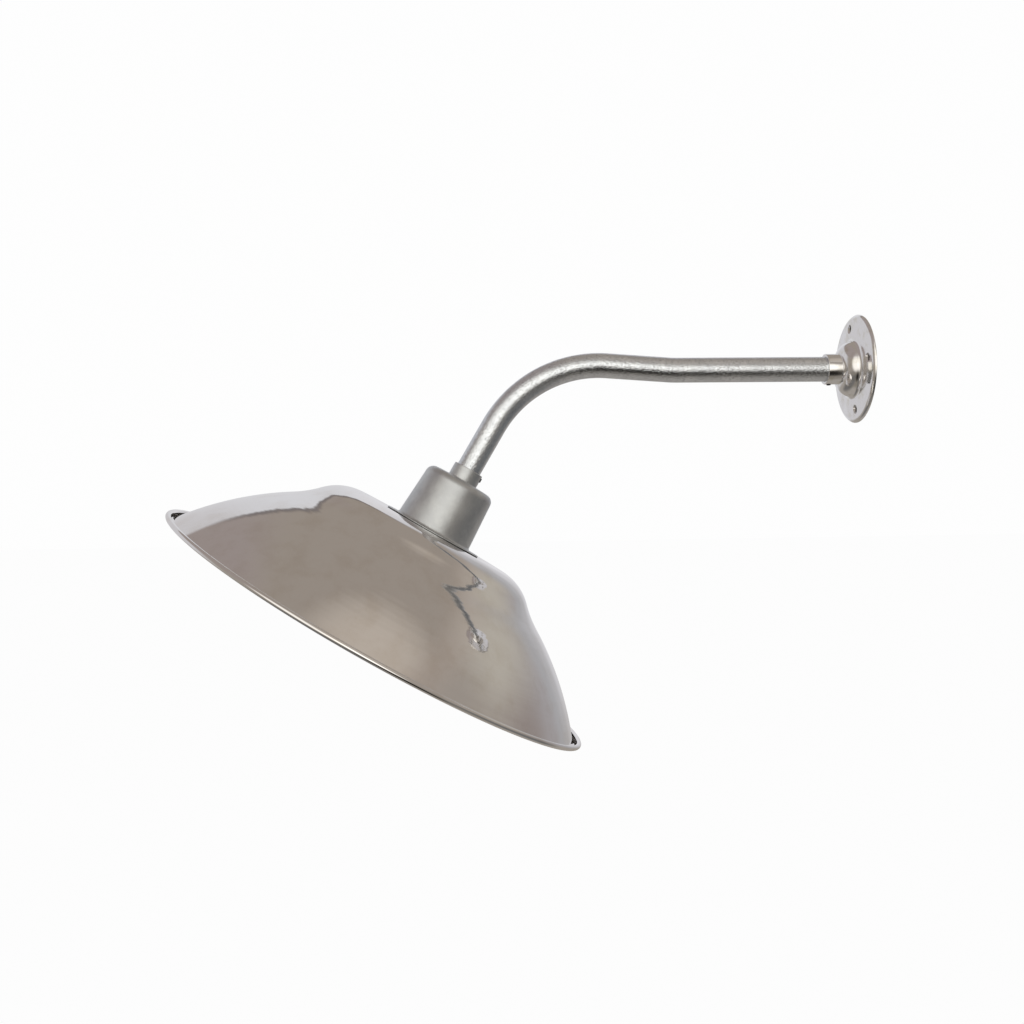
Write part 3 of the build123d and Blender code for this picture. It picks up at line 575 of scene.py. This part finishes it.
hub_radius, hub_end = 13.65, -65.5
clamp_circle, lug_circle, earth_circle = 26.5, 24.8, 19.0
hub = [(arm_bore, hub_end, 0.3), (hub_radius, hub_end, 0.6), (hub_radius, -53.5, 1.2)]
cup = [(32.0, -53.5, 7), (35.1, -2.8, 2.2), (45.3, -2.8, 0.6), (45.3, 0, 0.6)]
cup_inside = [(32.1, 0, 0.3), (29.0, -50, 3), (arm_bore, -50, 0.3)]
posts = [to_lamp @ at((clamp_circle * math.cos(a), clamp_circle * math.sin(a), 0))
         for a in [math.radians(45 + 90 * k) for k in range(4)]]
lugs = [to_lamp @ at((0, y, 0)) for y in (lug_circle, -lug_circle)]
post = bar([(0, -50.5), (4.6, -50.5), (4, -49.2), (3.8, -47.9), (3.8, -0.2), (3.6, 0), (0, 0)], *posts)
lug = bar([(0, -50.5), (5.9, -50.5), (5.5, -49.3), (5.5, -36.3), (5.2, -36), (0, -36)], *lugs)
earth_spot = (earth_circle * math.cos(math.pi / 4), earth_circle * math.sin(math.pi / 4), 0)
earth_pad = bar([(0, -50.5), (3.4, -50.5), (3.4, -49.1), (3.3, -49), (0, -49)], to_lamp @ at(earth_spot))
post_holes = bar([(0, -7.5), (2.05, -6.5), (2.05, -0.3), (2.35, 0), (2.35, 1), (0, 1)], *posts)
lug_holes = bar([(0, -42.8), (1.8, -42.1), (1.8, -36.3), (2.1, -36), (2.1, -35), (0, -35)], *lugs)
earth_hole = bar([(0, -52.8), (1.8, -52.1), (1.8, -49), (1.8, -48), (0, -48)], to_lamp @ at(earth_spot))
hub_screw_place = to_lamp @ at((0, -hub_radius, -61.8)) @ Matrix.Rotation(math.pi / 2, 4, "X")
hub_hole = bar([(0, 2), (0, -2.6), (2, -2.6), (2, 2)], hub_screw_place)
housing = spun("housing_casting", rounded(hub + cup + cup_inside), to_lamp, blasted, 240)
machined(housing, ("UNION", post), ("UNION", lug), ("UNION", earth_pad), ("DIFFERENCE", post_holes),
         ("DIFFERENCE", lug_holes), ("DIFFERENCE", earth_hole), ("DIFFERENCE", hub_hole))
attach(housing, "arm")
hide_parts("socket_housing")

hub_screw = grub_screw("hub_grub_screw", hub_screw_place, hub_radius + screw_proud - screw_tip, grub_steel)
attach(hub_screw, "arm")
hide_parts("housing_set_screw")


# ---------------------------------------------------------------- gasket
# A black rubber ring, cut from sheet, squeezed between the housing's flange and the crown.
rubber, cut_sheet = new_material("black rubber")
place = cut_sheet.place()
dust = cut_sheet.noise(place, 700.0, 4.0)
bump = cut_sheet.relief(0.4, 0.0002, dust)
cut_sheet.surface({
    "Base Color": cut_sheet.mix(cut_sheet.step(dust, 0.4, 0.8), tint(26, 26, 27), tint(50, 49, 48)),
    "Roughness": dust * 0.25 + 0.5, "Normal": bump})
gasket_outline = rounded([(33.1, 0, 0.2), (45.2, 0, 0.3), (45.2, 1.5, 0.3), (33.1, 1.5, 0.2)])
gasket = spun("rubber_gasket", gasket_outline, to_lamp, rubber)
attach(gasket, "arm")
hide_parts("shade_gasket")


# ---------------------------------------------------------------- shade
# One millimetre sheet spun over a former and polished to a mirror: a flat seat, a shallow dished
# crown, a round shoulder, a hollow waist and a full skirt, which ends in a rolled rim.
def bent(start, moves):
    """Skin points (radius, distance, heading) from start through moves: (length,) is straight,
    (radius, turn in degrees) is a bend, and a bend with a third value has that many steps."""
    r, h = start
    heading = 0.0
    skin = [(r, h, heading)]
    for move in moves:
        if len(move) == 1:
            steps, length, turn = max(2, int(move[0] / 1.6)), move[0], 0.0
        else:
            turn = math.radians(move[1])
            length = abs(move[0] * turn)
            steps = move[2] if len(move) > 2 else max(6, int(length / 1.4))
        for _ in range(steps):
            half = turn / steps / 2
            step = length / steps * (math.sin(half) / half if half else 1)
            r, h = r + step * math.cos(heading + half), h + step * math.sin(heading + half)
            heading += 2 * half
            skin.append((r, h, heading))
    return skin


def through(skin, thickness):
    """The same skin on the other side of the sheet."""
    return [(r - thickness * math.sin(a), h + thickness * math.cos(a), a) for r, h, a in skin]


def tangent_bend(skin, end):
    """The (radius, turn) of the bend that carries a skin smoothly on to the end point."""
    r, h, heading = skin[-1]
    across, chord = math.atan2(end[1] - h, end[0] - r), math.hypot(end[0] - r, end[1] - h)
    turn = 2 * (across - heading)
    return chord / 2 / math.sin(abs(turn) / 2), math.degrees(turn)


sheet = 1.0
neck_edge, skirt_foot = (33.1, 1.5), (196.5, 94.7)
crown_moves = [(13.2,), (2, -9.4), (16,), (46.8, 55.4), (99.2, -14.1)]
rim_radius, rim_level = 202.37, 94.38  # the middle of the rolled rim
rim_bend, rim_turn = 1.3, 255

mirror, polish = new_material("polished spun metal")
radius, along, turn, place = lamp_space(polish)
ring = polish.add("ShaderNodeTexNoise", {"noise_dimensions": "2D"}, {
    "Vector": polish.add("ShaderNodeCombineXYZ", {}, {0: radius * 110.0 + along * 90.0, 1: turn * 0.9}),
    "Scale": 1.0, "Detail": 1.0})
hairs = polish.add("ShaderNodeTexNoise", {"noise_dimensions": "2D"}, {
    "Vector": polish.add("ShaderNodeCombineXYZ", {}, {0: radius * 4200.0 + along * 3600.0, 1: turn * 6.0}),
    "Scale": 1.0, "Detail": 3.0})
swell = polish.noise(place, 26.0, 1.0)
smear = polish.noise(place, 45.0, 4.0, 0.6)
bump = polish.relief(0.25, 0.001, ring * 0.35 + swell * 0.6 + hairs * 0.004)
colour = polish.mix(polish.step(smear, 0.4, 0.75), tint(244, 243, 243), tint(236, 233, 230))
beyond, below_rim = radius - rim_radius / 1000, along - rim_level / 1000
# Painted shade: the hollow inside the rolled rim is darkened and made rougher.
curl_shade = 1 - polish.step(polish.root(beyond * beyond + below_rim * below_rim), 0.0014, 0.0017)
polish.surface({
    "Base Color": polish.mix(curl_shade, colour, tint(158, 154, 150)), "Metallic": 1.0,
    "Roughness": polish.step(smear, 0.35, 0.8) * 0.05 + 0.035 + curl_shade * 0.4, "Normal": bump})

crown = bent(neck_edge, crown_moves)
outer_radius, outer_turn = tangent_bend(crown, skirt_foot)
slope = math.degrees(crown[-1][2]) + outer_turn
skirt_moves = [*crown_moves, (outer_radius, outer_turn), (2.5, -slope, 12)]
ledge = rim_radius - bent(neck_edge, skirt_moves)[-1][0]
outer_skin = bent(neck_edge, [*skirt_moves, (ledge,), (rim_bend, -rim_turn, 24)])
inner_skin = through(outer_skin, sheet)
outline = [(r, h) for r, h, _ in outer_skin] + [(r, h) for r, h, _ in reversed(inner_skin)]
shade = spun("spun_shade", outline, to_lamp, mirror, 240, crease=40)
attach(shade, "arm")
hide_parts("shade")


# ---------------------------------------------------------------- clamp ring
# A zinc-plated steel ring inside the shade. Its spigot centres the shade's neck, and its plate
# pulls the crown up against the gasket.
bright_zinc, plate = new_material("bright zinc plate")
place = plate.place()
cloud = plate.noise(place, 160.0, 4.0, 0.6)
grain = plate.noise(place, 2400.0, 2.0)
bump = plate.relief(0.25, 0.0002, grain)
plate.surface({
    "Base Color": plate.mix(plate.step(cloud, 0.35, 0.7), tint(196, 199, 206), tint(212, 210, 200)),
    "Metallic": 1.0, "Roughness": cloud * 0.2 + 0.2, "Normal": bump})
ring_outline = [(22.5, 2.5, 0.2), (31.3, 2.5), (31.3, 0.3, 0.3), (32.8, 0.3, 0.3), (32.8, 2.5), (41.5, 2.5, 0.4),
                (41.5, 4.1, 0.4), (22.5, 4.1, 0.5)]
clamp_ring = spun("clamp_plate", rounded(ring_outline), to_lamp, bright_zinc)
ring_holes = bar([(0, 2), (2.2, 2), (2.2, 5), (0, 5)], *posts)
machined(clamp_ring, ("DIFFERENCE", ring_holes))
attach(clamp_ring, "arm")
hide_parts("clamp_ring")


# ---------------------------------------------------------------- pan-head screws
# Cold-headed machine screws with cross recesses. Four zinc-plated ones clamp the ring, and
# smaller ones of the same kind hold the bracket, the porcelain, the terminals and the earth.
def screw_mesh(name, head_radius, head_height, shank_radius, length, material):
    """One screw with its seat at z = 0, its head above and a rolled thread below, in mm."""
    pitch, depth = shank_radius * 0.35, shank_radius * 0.16
    levels = np.linspace(-length + shank_radius * 0.35, -0.6, max(24, int((length - 0.6) / pitch * 6)))
    shank = [(0, -length), (shank_radius * 0.7, -length), *[(shank_radius, z) for z in levels]]
    head = [*rounded([(shank_radius, 0), (head_radius, 0, 0.25), (head_radius, head_height, 0.9), (0, head_height)])]

    def thread(radius, z, turn):
        wave = 0.5 - 0.5 * np.cos(2 * np.pi * (z / pitch - turn / 2 / np.pi))
        inside = np.clip((z + length) / pitch, 0, 1) * np.clip((-0.5 - z) / pitch, 0, 1)
        return depth * wave * inside * (radius <= shank_radius)

    screw = spun(name, shank + head, Matrix(), material, 36, thread)
    bars = []
    for across, along in ((0.16, 0.56), (0.56, 0.16)):
        x, y, low = head_radius * across, head_radius * along, head_height * 0.42
        foot = 0.45
        corners = [(-1, -1), (1, -1), (1, 1), (-1, 1)]
        points = [(x * (foot if x > y else 1) * i, y * (foot if y > x else 1) * j, low) for i, j in corners]
        points += [(x * i, y * j, head_height + 0.01) for i, j in corners]
        points += [(x * i, y * j, head_height + 1) for i, j in corners]
        sides = [(k, (k + 1) % 4, (k + 1) % 4 + 4, k + 4) for k in range(4)]
        sides += [(k + 4, (k + 1) % 4 + 4, (k + 1) % 4 + 8, k + 8) for k in range(4)]
        bars.append(solid("tool", points, [(3, 2, 1, 0), (8, 9, 10, 11), *sides], Matrix(), None))
    return machined(screw, *[("DIFFERENCE", tool) for tool in bars])


screw_ring = bpy.data.node_groups.new("screws round the axis", "GeometryNodeTree")
for socket, kind in (("Screw", "NodeSocketObject"), ("Plating", "NodeSocketMaterial"), ("Count", "NodeSocketInt"),
                     ("Circle", "NodeSocketFloat"), ("First turn", "NodeSocketFloat"), ("Level", "NodeSocketFloat"),
                     ("Tilt", "NodeSocketFloat")):
    screw_ring.interface.new_socket(socket, in_out="INPUT", socket_type=kind)
screw_ring.interface.new_socket("Screws", in_out="OUTPUT", socket_type="NodeSocketGeometry")
layout = Nodes(screw_ring)
given = {name: layout.add("NodeGroupInput", take=name) for name in
         ("Screw", "Plating", "Count", "Circle", "First turn", "Level", "Tilt")}
number = layout.add("GeometryNodeInputIndex")
turn = given["First turn"] + number * (2 * math.pi) / given["Count"]
spot = layout.add("ShaderNodeCombineXYZ", {}, {
    0: turn.sum("COSINE", turn) * given["Circle"], 1: turn.sum("SINE", turn) * given["Circle"], 2: given["Level"]})
spots = layout.add("GeometryNodePoints", {}, {"Count": given["Count"], "Position": spot})
facing = layout.add("ShaderNodeCombineXYZ", {}, {1: given["Tilt"], 2: turn})
model = layout.add("GeometryNodeObjectInfo", {}, {"Object": given["Screw"]}, "Geometry")
placed = layout.add("GeometryNodeInstanceOnPoints", {}, {"Points": spots, "Instance": model, "Rotation": facing})
real = layout.add("GeometryNodeRealizeInstances", {}, {"Geometry": placed})
plated = layout.add("GeometryNodeSetMaterial", {}, {"Geometry": real, "Material": given["Plating"]})
layout.add("NodeGroupOutput", {}, {0: plated})


def evaluated(name, tree, inputs, to_place, crease=28):
    """A plain mesh piece from a geometry tree and its named inputs, put in place."""
    piece = bpy.data.objects.new(name, bpy.data.meshes.new(name))
    bpy.context.scene.collection.objects.link(piece)
    maker = piece.modifiers.new("maker", "NODES")
    maker.node_group = tree
    for item in tree.interface.items_tree:
        if item.in_out == "INPUT":
            maker[item.identifier] = inputs[item.name]
    bpy.context.view_layer.update()
    made = bpy.data.meshes.new_from_object(piece.evaluated_get(bpy.context.evaluated_depsgraph_get()))
    piece.modifiers.clear()
    blank, piece.data = piece.data, made
    bpy.data.meshes.remove(blank)
    made.transform(to_place)
    smooth(piece, crease)
    return piece


brass, rolled = new_material("rolled brass")
place = rolled.place()
tarnish = rolled.noise(place, 190.0, 4.0, 0.65)
grain = rolled.noise(place, 2600.0, 2.0)
bump = rolled.relief(0.2, 0.0002, grain)
rolled.surface({
    "Base Color": rolled.mix(rolled.step(tarnish, 0.35, 0.75), tint(214, 178, 104), tint(176, 136, 74)),
    "Metallic": 1.0, "Roughness": tarnish * 0.25 + 0.15, "Normal": bump})

half_turn = math.pi / 2
for node, screw_size, plating, slot, layout_sizes in (
        ("clamp_screws", (3.8, 2.4, 2.0, 11.0), bright_zinc, "zinc_steel", (4, clamp_circle, half_turn / 2, 4.1, 0.0)),
        ("bracket_screws", (2.8, 1.8, 1.75, 7.0), bright_zinc, "zinc_steel", (2, lug_circle, half_turn, -34.5, 0.0)),
        ("holder_screws", (2.8, 1.8, 1.75, 8.0), bright_zinc, "zinc_steel", (2, 11.0, half_turn, -36.0, math.pi)),
        ("terminal_screws", (2.8, 1.8, 1.75, 5.0), brass, "brass", (2, 17.1, 0.0, -28.5, half_turn)),
        ("earth_screw", (2.8, 1.8, 1.75, 3.9), brass, "brass", (1, earth_circle, half_turn / 2, -48.2, 0.0))):
    one_screw = screw_mesh("one_screw", *screw_size, plating)
    sizes = dict(zip(("Count", "Circle", "First turn", "Level", "Tilt"), layout_sizes))
    screws = evaluated("cross_head_" + node, screw_ring, {"Screw": one_screw, "Plating": plating, **sizes}, to_lamp)
    bpy.data.objects.remove(one_screw)
    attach(screws, "arm")
    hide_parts(node)


# ---------------------------------------------------------------- bracket and earth lug
# Both are pressed from steel strip and zinc plated. The bracket hangs the porcelain from the
# housing's lugs, and the earth lug grips the green lead.
for name in ("holder_bracket", "earth_terminal"):
    finish_node(name, bright_zinc)


# ---------------------------------------------------------------- lamp holder
# White porcelain, pressed, glazed and fired. The glaze is uneven, and a few dark specks show
# in it.
glaze, fired = new_material("glazed porcelain")
place = fired.place()
pool = fired.noise(place, 85.0, 3.0)
speck = fired.noise(place, 1500.0, 1.0)
bump = fired.relief(0.25, 0.0006, pool)
colour = fired.mix(fired.step(pool, 0.35, 0.7), tint(236, 234, 228), tint(246, 245, 242))
colour = fired.mix(fired.step(speck, 0.74, 0.8) * 0.5, colour, tint(150, 140, 124))
fired.surface({
    "Base Color": colour, "Roughness": pool * 0.08 + 0.09, "Normal": bump, "Coat Weight": 0.4, "Coat Roughness": 0.05,
    "IOR": 1.55})
finish_node("holder_body", glaze)


# ---------------------------------------------------------------- screw shell and centre contact
# The shell is drawn from brass sheet and its thread is rolled in. A brass leaf springs up in
# the middle to meet the lamp.
def rolled_thread(low, high, pitch=3.63, depth=0.8, fade=1.8):
    """A lamp's round thread from a low level to a high one, where it fades out."""
    def ripple(radius, level, turn):
        wave = 0.5 - 0.5 * np.cos(2 * np.pi * (level / pitch - turn / 2 / np.pi))
        return depth * wave * np.clip((level - low) / fade, 0, 1) * np.clip((high - level) / fade, 0, 1)
    return ripple


def thin_wall(outer, inner, levels):
    """A closed outline round a thin turned wall, with a point at each level."""
    return [(inner, h) for h in levels] + [(outer, h) for h in reversed(levels)]


shell_levels = np.linspace(-24.5, -0.5, 97)
shell = spun("rolled_shell", thin_wall(13.9, 13.3, shell_levels), to_lamp, brass, 96, rolled_thread(-21.5, -2.5), 50)
points = [(x, y, h) for y in (-2.8, 2.8) for x, h in
          ((-13.6, -24.5), (-16.5, -24.5), (-16.5, -31.8), (-17.1, -31.8), (-17.1, -23.9), (-13.6, -23.9))]
tab = solid("tool", points, [tuple(range(6)), tuple(range(11, 5, -1)),
                             *[(k, (k + 1) % 6, (k + 1) % 6 + 6, k + 6) for k in range(6)]], to_lamp, None)
tab_hole = bar([(0, -2), (1.95, -2), (1.95, 2), (0, 2)],
               to_lamp @ at((-16.8, 0, -28.5)) @ Matrix.Rotation(math.pi / 2, 4, "Y"))
machined(shell, ("UNION", tab), ("DIFFERENCE", tab_hole), crease=50)
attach(shell, "arm")
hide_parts("screw_shell")
finish_node("centre_contact", brass)


# ---------------------------------------------------------------- leads
# Three stranded copper leads in silicone insulation, black for line, white for neutral and
# green for earth. They run side by side through the whole arm.
for name, dark, light in (("line_lead", (30, 30, 32), (46, 45, 46)), ("neutral_lead", (214, 212, 206), (232, 230, 226)),
                          ("earth_lead", (38, 104, 62), (58, 132, 80))):
    insulation, skinned = new_material(name + " insulation")
    place = skinned.place()
    mottle = skinned.noise(place, 500.0, 3.0)
    bump = skinned.relief(0.2, 0.0002, mottle)
    skinned.surface({
        "Base Color": skinned.mix(mottle, tint(*dark), tint(*light)), "Roughness": mottle * 0.2 + 0.35, "Normal": bump})
    finish_node(name, insulation)


# ---------------------------------------------------------------- lamp
# A round clear lamp. Its cap is drawn aluminium with the thread rolled in. Below it are a cone
# of black glass and the soldered contact.
def plain_metal(name, dark, light, roughness, scale):
    """A metal with clouded colour and roughness and a fine grain."""
    material, metal = new_material(name)
    place = metal.place()
    cloud = metal.noise(place, scale, 4.0, 0.6)
    bump = metal.relief(0.2, 0.0002, cloud)
    metal.surface({
        "Base Color": metal.mix(metal.step(cloud, 0.35, 0.7), tint(*dark), tint(*light)), "Metallic": 1.0,
        "Roughness": cloud * 0.15 + roughness, "Normal": bump})
    return material


cap_levels = list(np.linspace(-17.1, 5.0, 89))
cap_outline = [(12.6, h) for h in cap_levels] + [(13.0, h) for h in reversed(cap_levels)]
cap_outline += rounded([(13.0, -17.5, 0.3), (11.0, -17.5), (11.0, -17.1)])
drawn_aluminium = plain_metal("drawn aluminium", (190, 190, 190), (214, 213, 211), 0.2, 300)
cap = spun("threaded_cap", cap_outline, to_lamp, drawn_aluminium, 96, rolled_thread(-16.9, -2.5), 50)
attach(cap, "lamp")
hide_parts("lamp_cap")

cone_glass, poured = new_material("black glass")
place = poured.place()
flow = poured.noise(place, 240.0, 2.0)
bump = poured.relief(0.3, 0.0004, flow)
poured.surface({
    "Base Color": poured.mix(flow, tint(24, 22, 28), tint(44, 38, 48)),
    "Roughness": flow * 0.15 + 0.06, "Normal": bump})
insulator_outline = rounded([(0, -20.5), (5.2, -20.5, 0.4), (12.0, -17.5), (10.95, -17.5), (10.95, -15.9, 0.4),
                             (0, -15.9)])
insulator = spun("glass_cone", insulator_outline, to_lamp, cone_glass, 96)
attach(insulator, "lamp")
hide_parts("lamp_cap_insulator")

solder_outline = [(0, -20.5), (4.6, -20.5), *arc((4.6, -20.9), (3.4, -21.9), -1.1, 6), (1.8, -22.0), (0, -22.0)]
tinned = plain_metal("solder", (150, 152, 156), (186, 187, 190), 0.25, 500)
solder = spun("solder_contact", solder_outline, to_lamp, tinned, 64)
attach(solder, "lamp")
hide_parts("lamp_contact")


# ---------------------------------------------------------------- bulb
# Clear blown glass, sealed to a pressed stem that carries the wires. The filament is a fine coil
# of tungsten that bows across the globe.
def clear(name, colour):
    """Clear glass with faint waves from blowing, which lets the light through to what is behind it."""
    material, glass = new_material(name)
    place = glass.place()
    wave = glass.noise(place, 60.0, 1.0)
    bump = glass.relief(0.1, 0.0006, wave)
    glass.surface({
        "Base Color": colour, "Roughness": wave * 0.01, "Transmission Weight": 1.0, "IOR": 1.5, "Normal": bump})
    return material


neck_radius, neck_end, globe_radius, globe_middle = 12.3, 7.0, 30.0, 58.0
fall = globe_middle - neck_end
throat_radius = (neck_radius**2 + fall**2 - globe_radius**2) / (2 * (globe_radius - neck_radius))
neck_turn = math.atan2(fall, neck_radius + throat_radius)


def bulb_skin(depth):
    """The bulb's outline at a depth in its glass: a straight neck, a hollow throat and the globe."""
    throat, globe = throat_radius + depth, globe_radius - depth
    skin = [(neck_radius - depth, level) for level in (-1.0, 3.0, neck_end)]
    skin += [(neck_radius + throat_radius - throat * math.cos(a), neck_end + throat * math.sin(a))
             for a in np.linspace(0, neck_turn, 33)[1:]]
    skin += [(globe * math.cos(a) if a < 1.57 else 0.0, globe_middle + globe * math.sin(a))
             for a in np.linspace(-neck_turn, math.pi / 2, 97)[1:]]
    return skin


bulb_glass = clear("clear lamp glass", (0.98, 0.985, 0.98, 1.0))
bulb = spun("blown_bulb", bulb_skin(0) + bulb_skin(0.8)[::-1], to_lamp, bulb_glass, 160, crease=60)
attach(bulb, "lamp")
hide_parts("lamp_glass")
finish_node("lamp_stem", clear("pressed stem glass", (0.95, 0.97, 0.96, 1.0)))
tungsten = plain_metal("tungsten wire", (120, 118, 118), (168, 166, 164), 0.25, 900)
finish_node("lamp_support_wires", tungsten)

winding = bpy.data.node_groups.new("coil along an arc", "GeometryNodeTree")
coil_sizes = {"Metal": tungsten, "Start": (-14.0, 0.0, 56.0), "Middle": (0.0, 0.0, 63.0), "End": (14.0, 0.0, 56.0),
              "Turns": 62, "Coil radius": 0.34, "Wire radius": 0.075}
for socket, kind in zip(coil_sizes, ("Material", "Vector", "Vector", "Vector", "Int", "Float", "Float")):
    winding.interface.new_socket(socket, in_out="INPUT", socket_type="NodeSocket" + kind)
winding.interface.new_socket("Coil", in_out="OUTPUT", socket_type="NodeSocketGeometry")
wind = Nodes(winding)
given = {name: wind.add("NodeGroupInput", take=name) for name in coil_sizes}
line = wind.add("GeometryNodeCurveArc", {"mode": "POINTS"}, {
    "Resolution": given["Turns"] * 12, "Start": given["Start"], "Middle": given["Middle"], "End": given["End"]})
turn = wind.add("GeometryNodeInputIndex") * (math.pi / 6)
normal, tangent = wind.add("GeometryNodeInputNormal"), wind.add("GeometryNodeInputTangent")
sideways = wind.add("ShaderNodeVectorMath", {"operation": "CROSS_PRODUCT"}, {0: tangent, 1: normal})
shares = [wind.add("ShaderNodeVectorMath", {"operation": "SCALE"}, {
    0: direction, "Scale": given["Coil radius"] * share})
    for direction, share in ((normal, turn.sum("COSINE", turn)), (sideways, turn.sum("SINE", turn)))]
offset = wind.add("ShaderNodeVectorMath", {"operation": "ADD"}, dict(enumerate(shares)))
helix = wind.add("GeometryNodeSetPosition", {}, {"Geometry": line, "Offset": offset})
profile = wind.add("GeometryNodeCurvePrimitiveCircle", {}, {"Resolution": 6, "Radius": given["Wire radius"]})
wire = wind.add("GeometryNodeCurveToMesh", {}, {"Curve": helix, "Profile Curve": profile, "Fill Caps": True})
real = wind.add("GeometryNodeRealizeInstances", {}, {"Geometry": wire})
finished = wind.add("GeometryNodeSetMaterial", {}, {"Geometry": real, "Material": given["Metal"]})
wind.add("NodeGroupOutput", {}, {0: finished})
filament = evaluated("coiled_filament", winding, coil_sizes, to_lamp, 50)
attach(filament, "lamp")
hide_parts("lamp_filament")
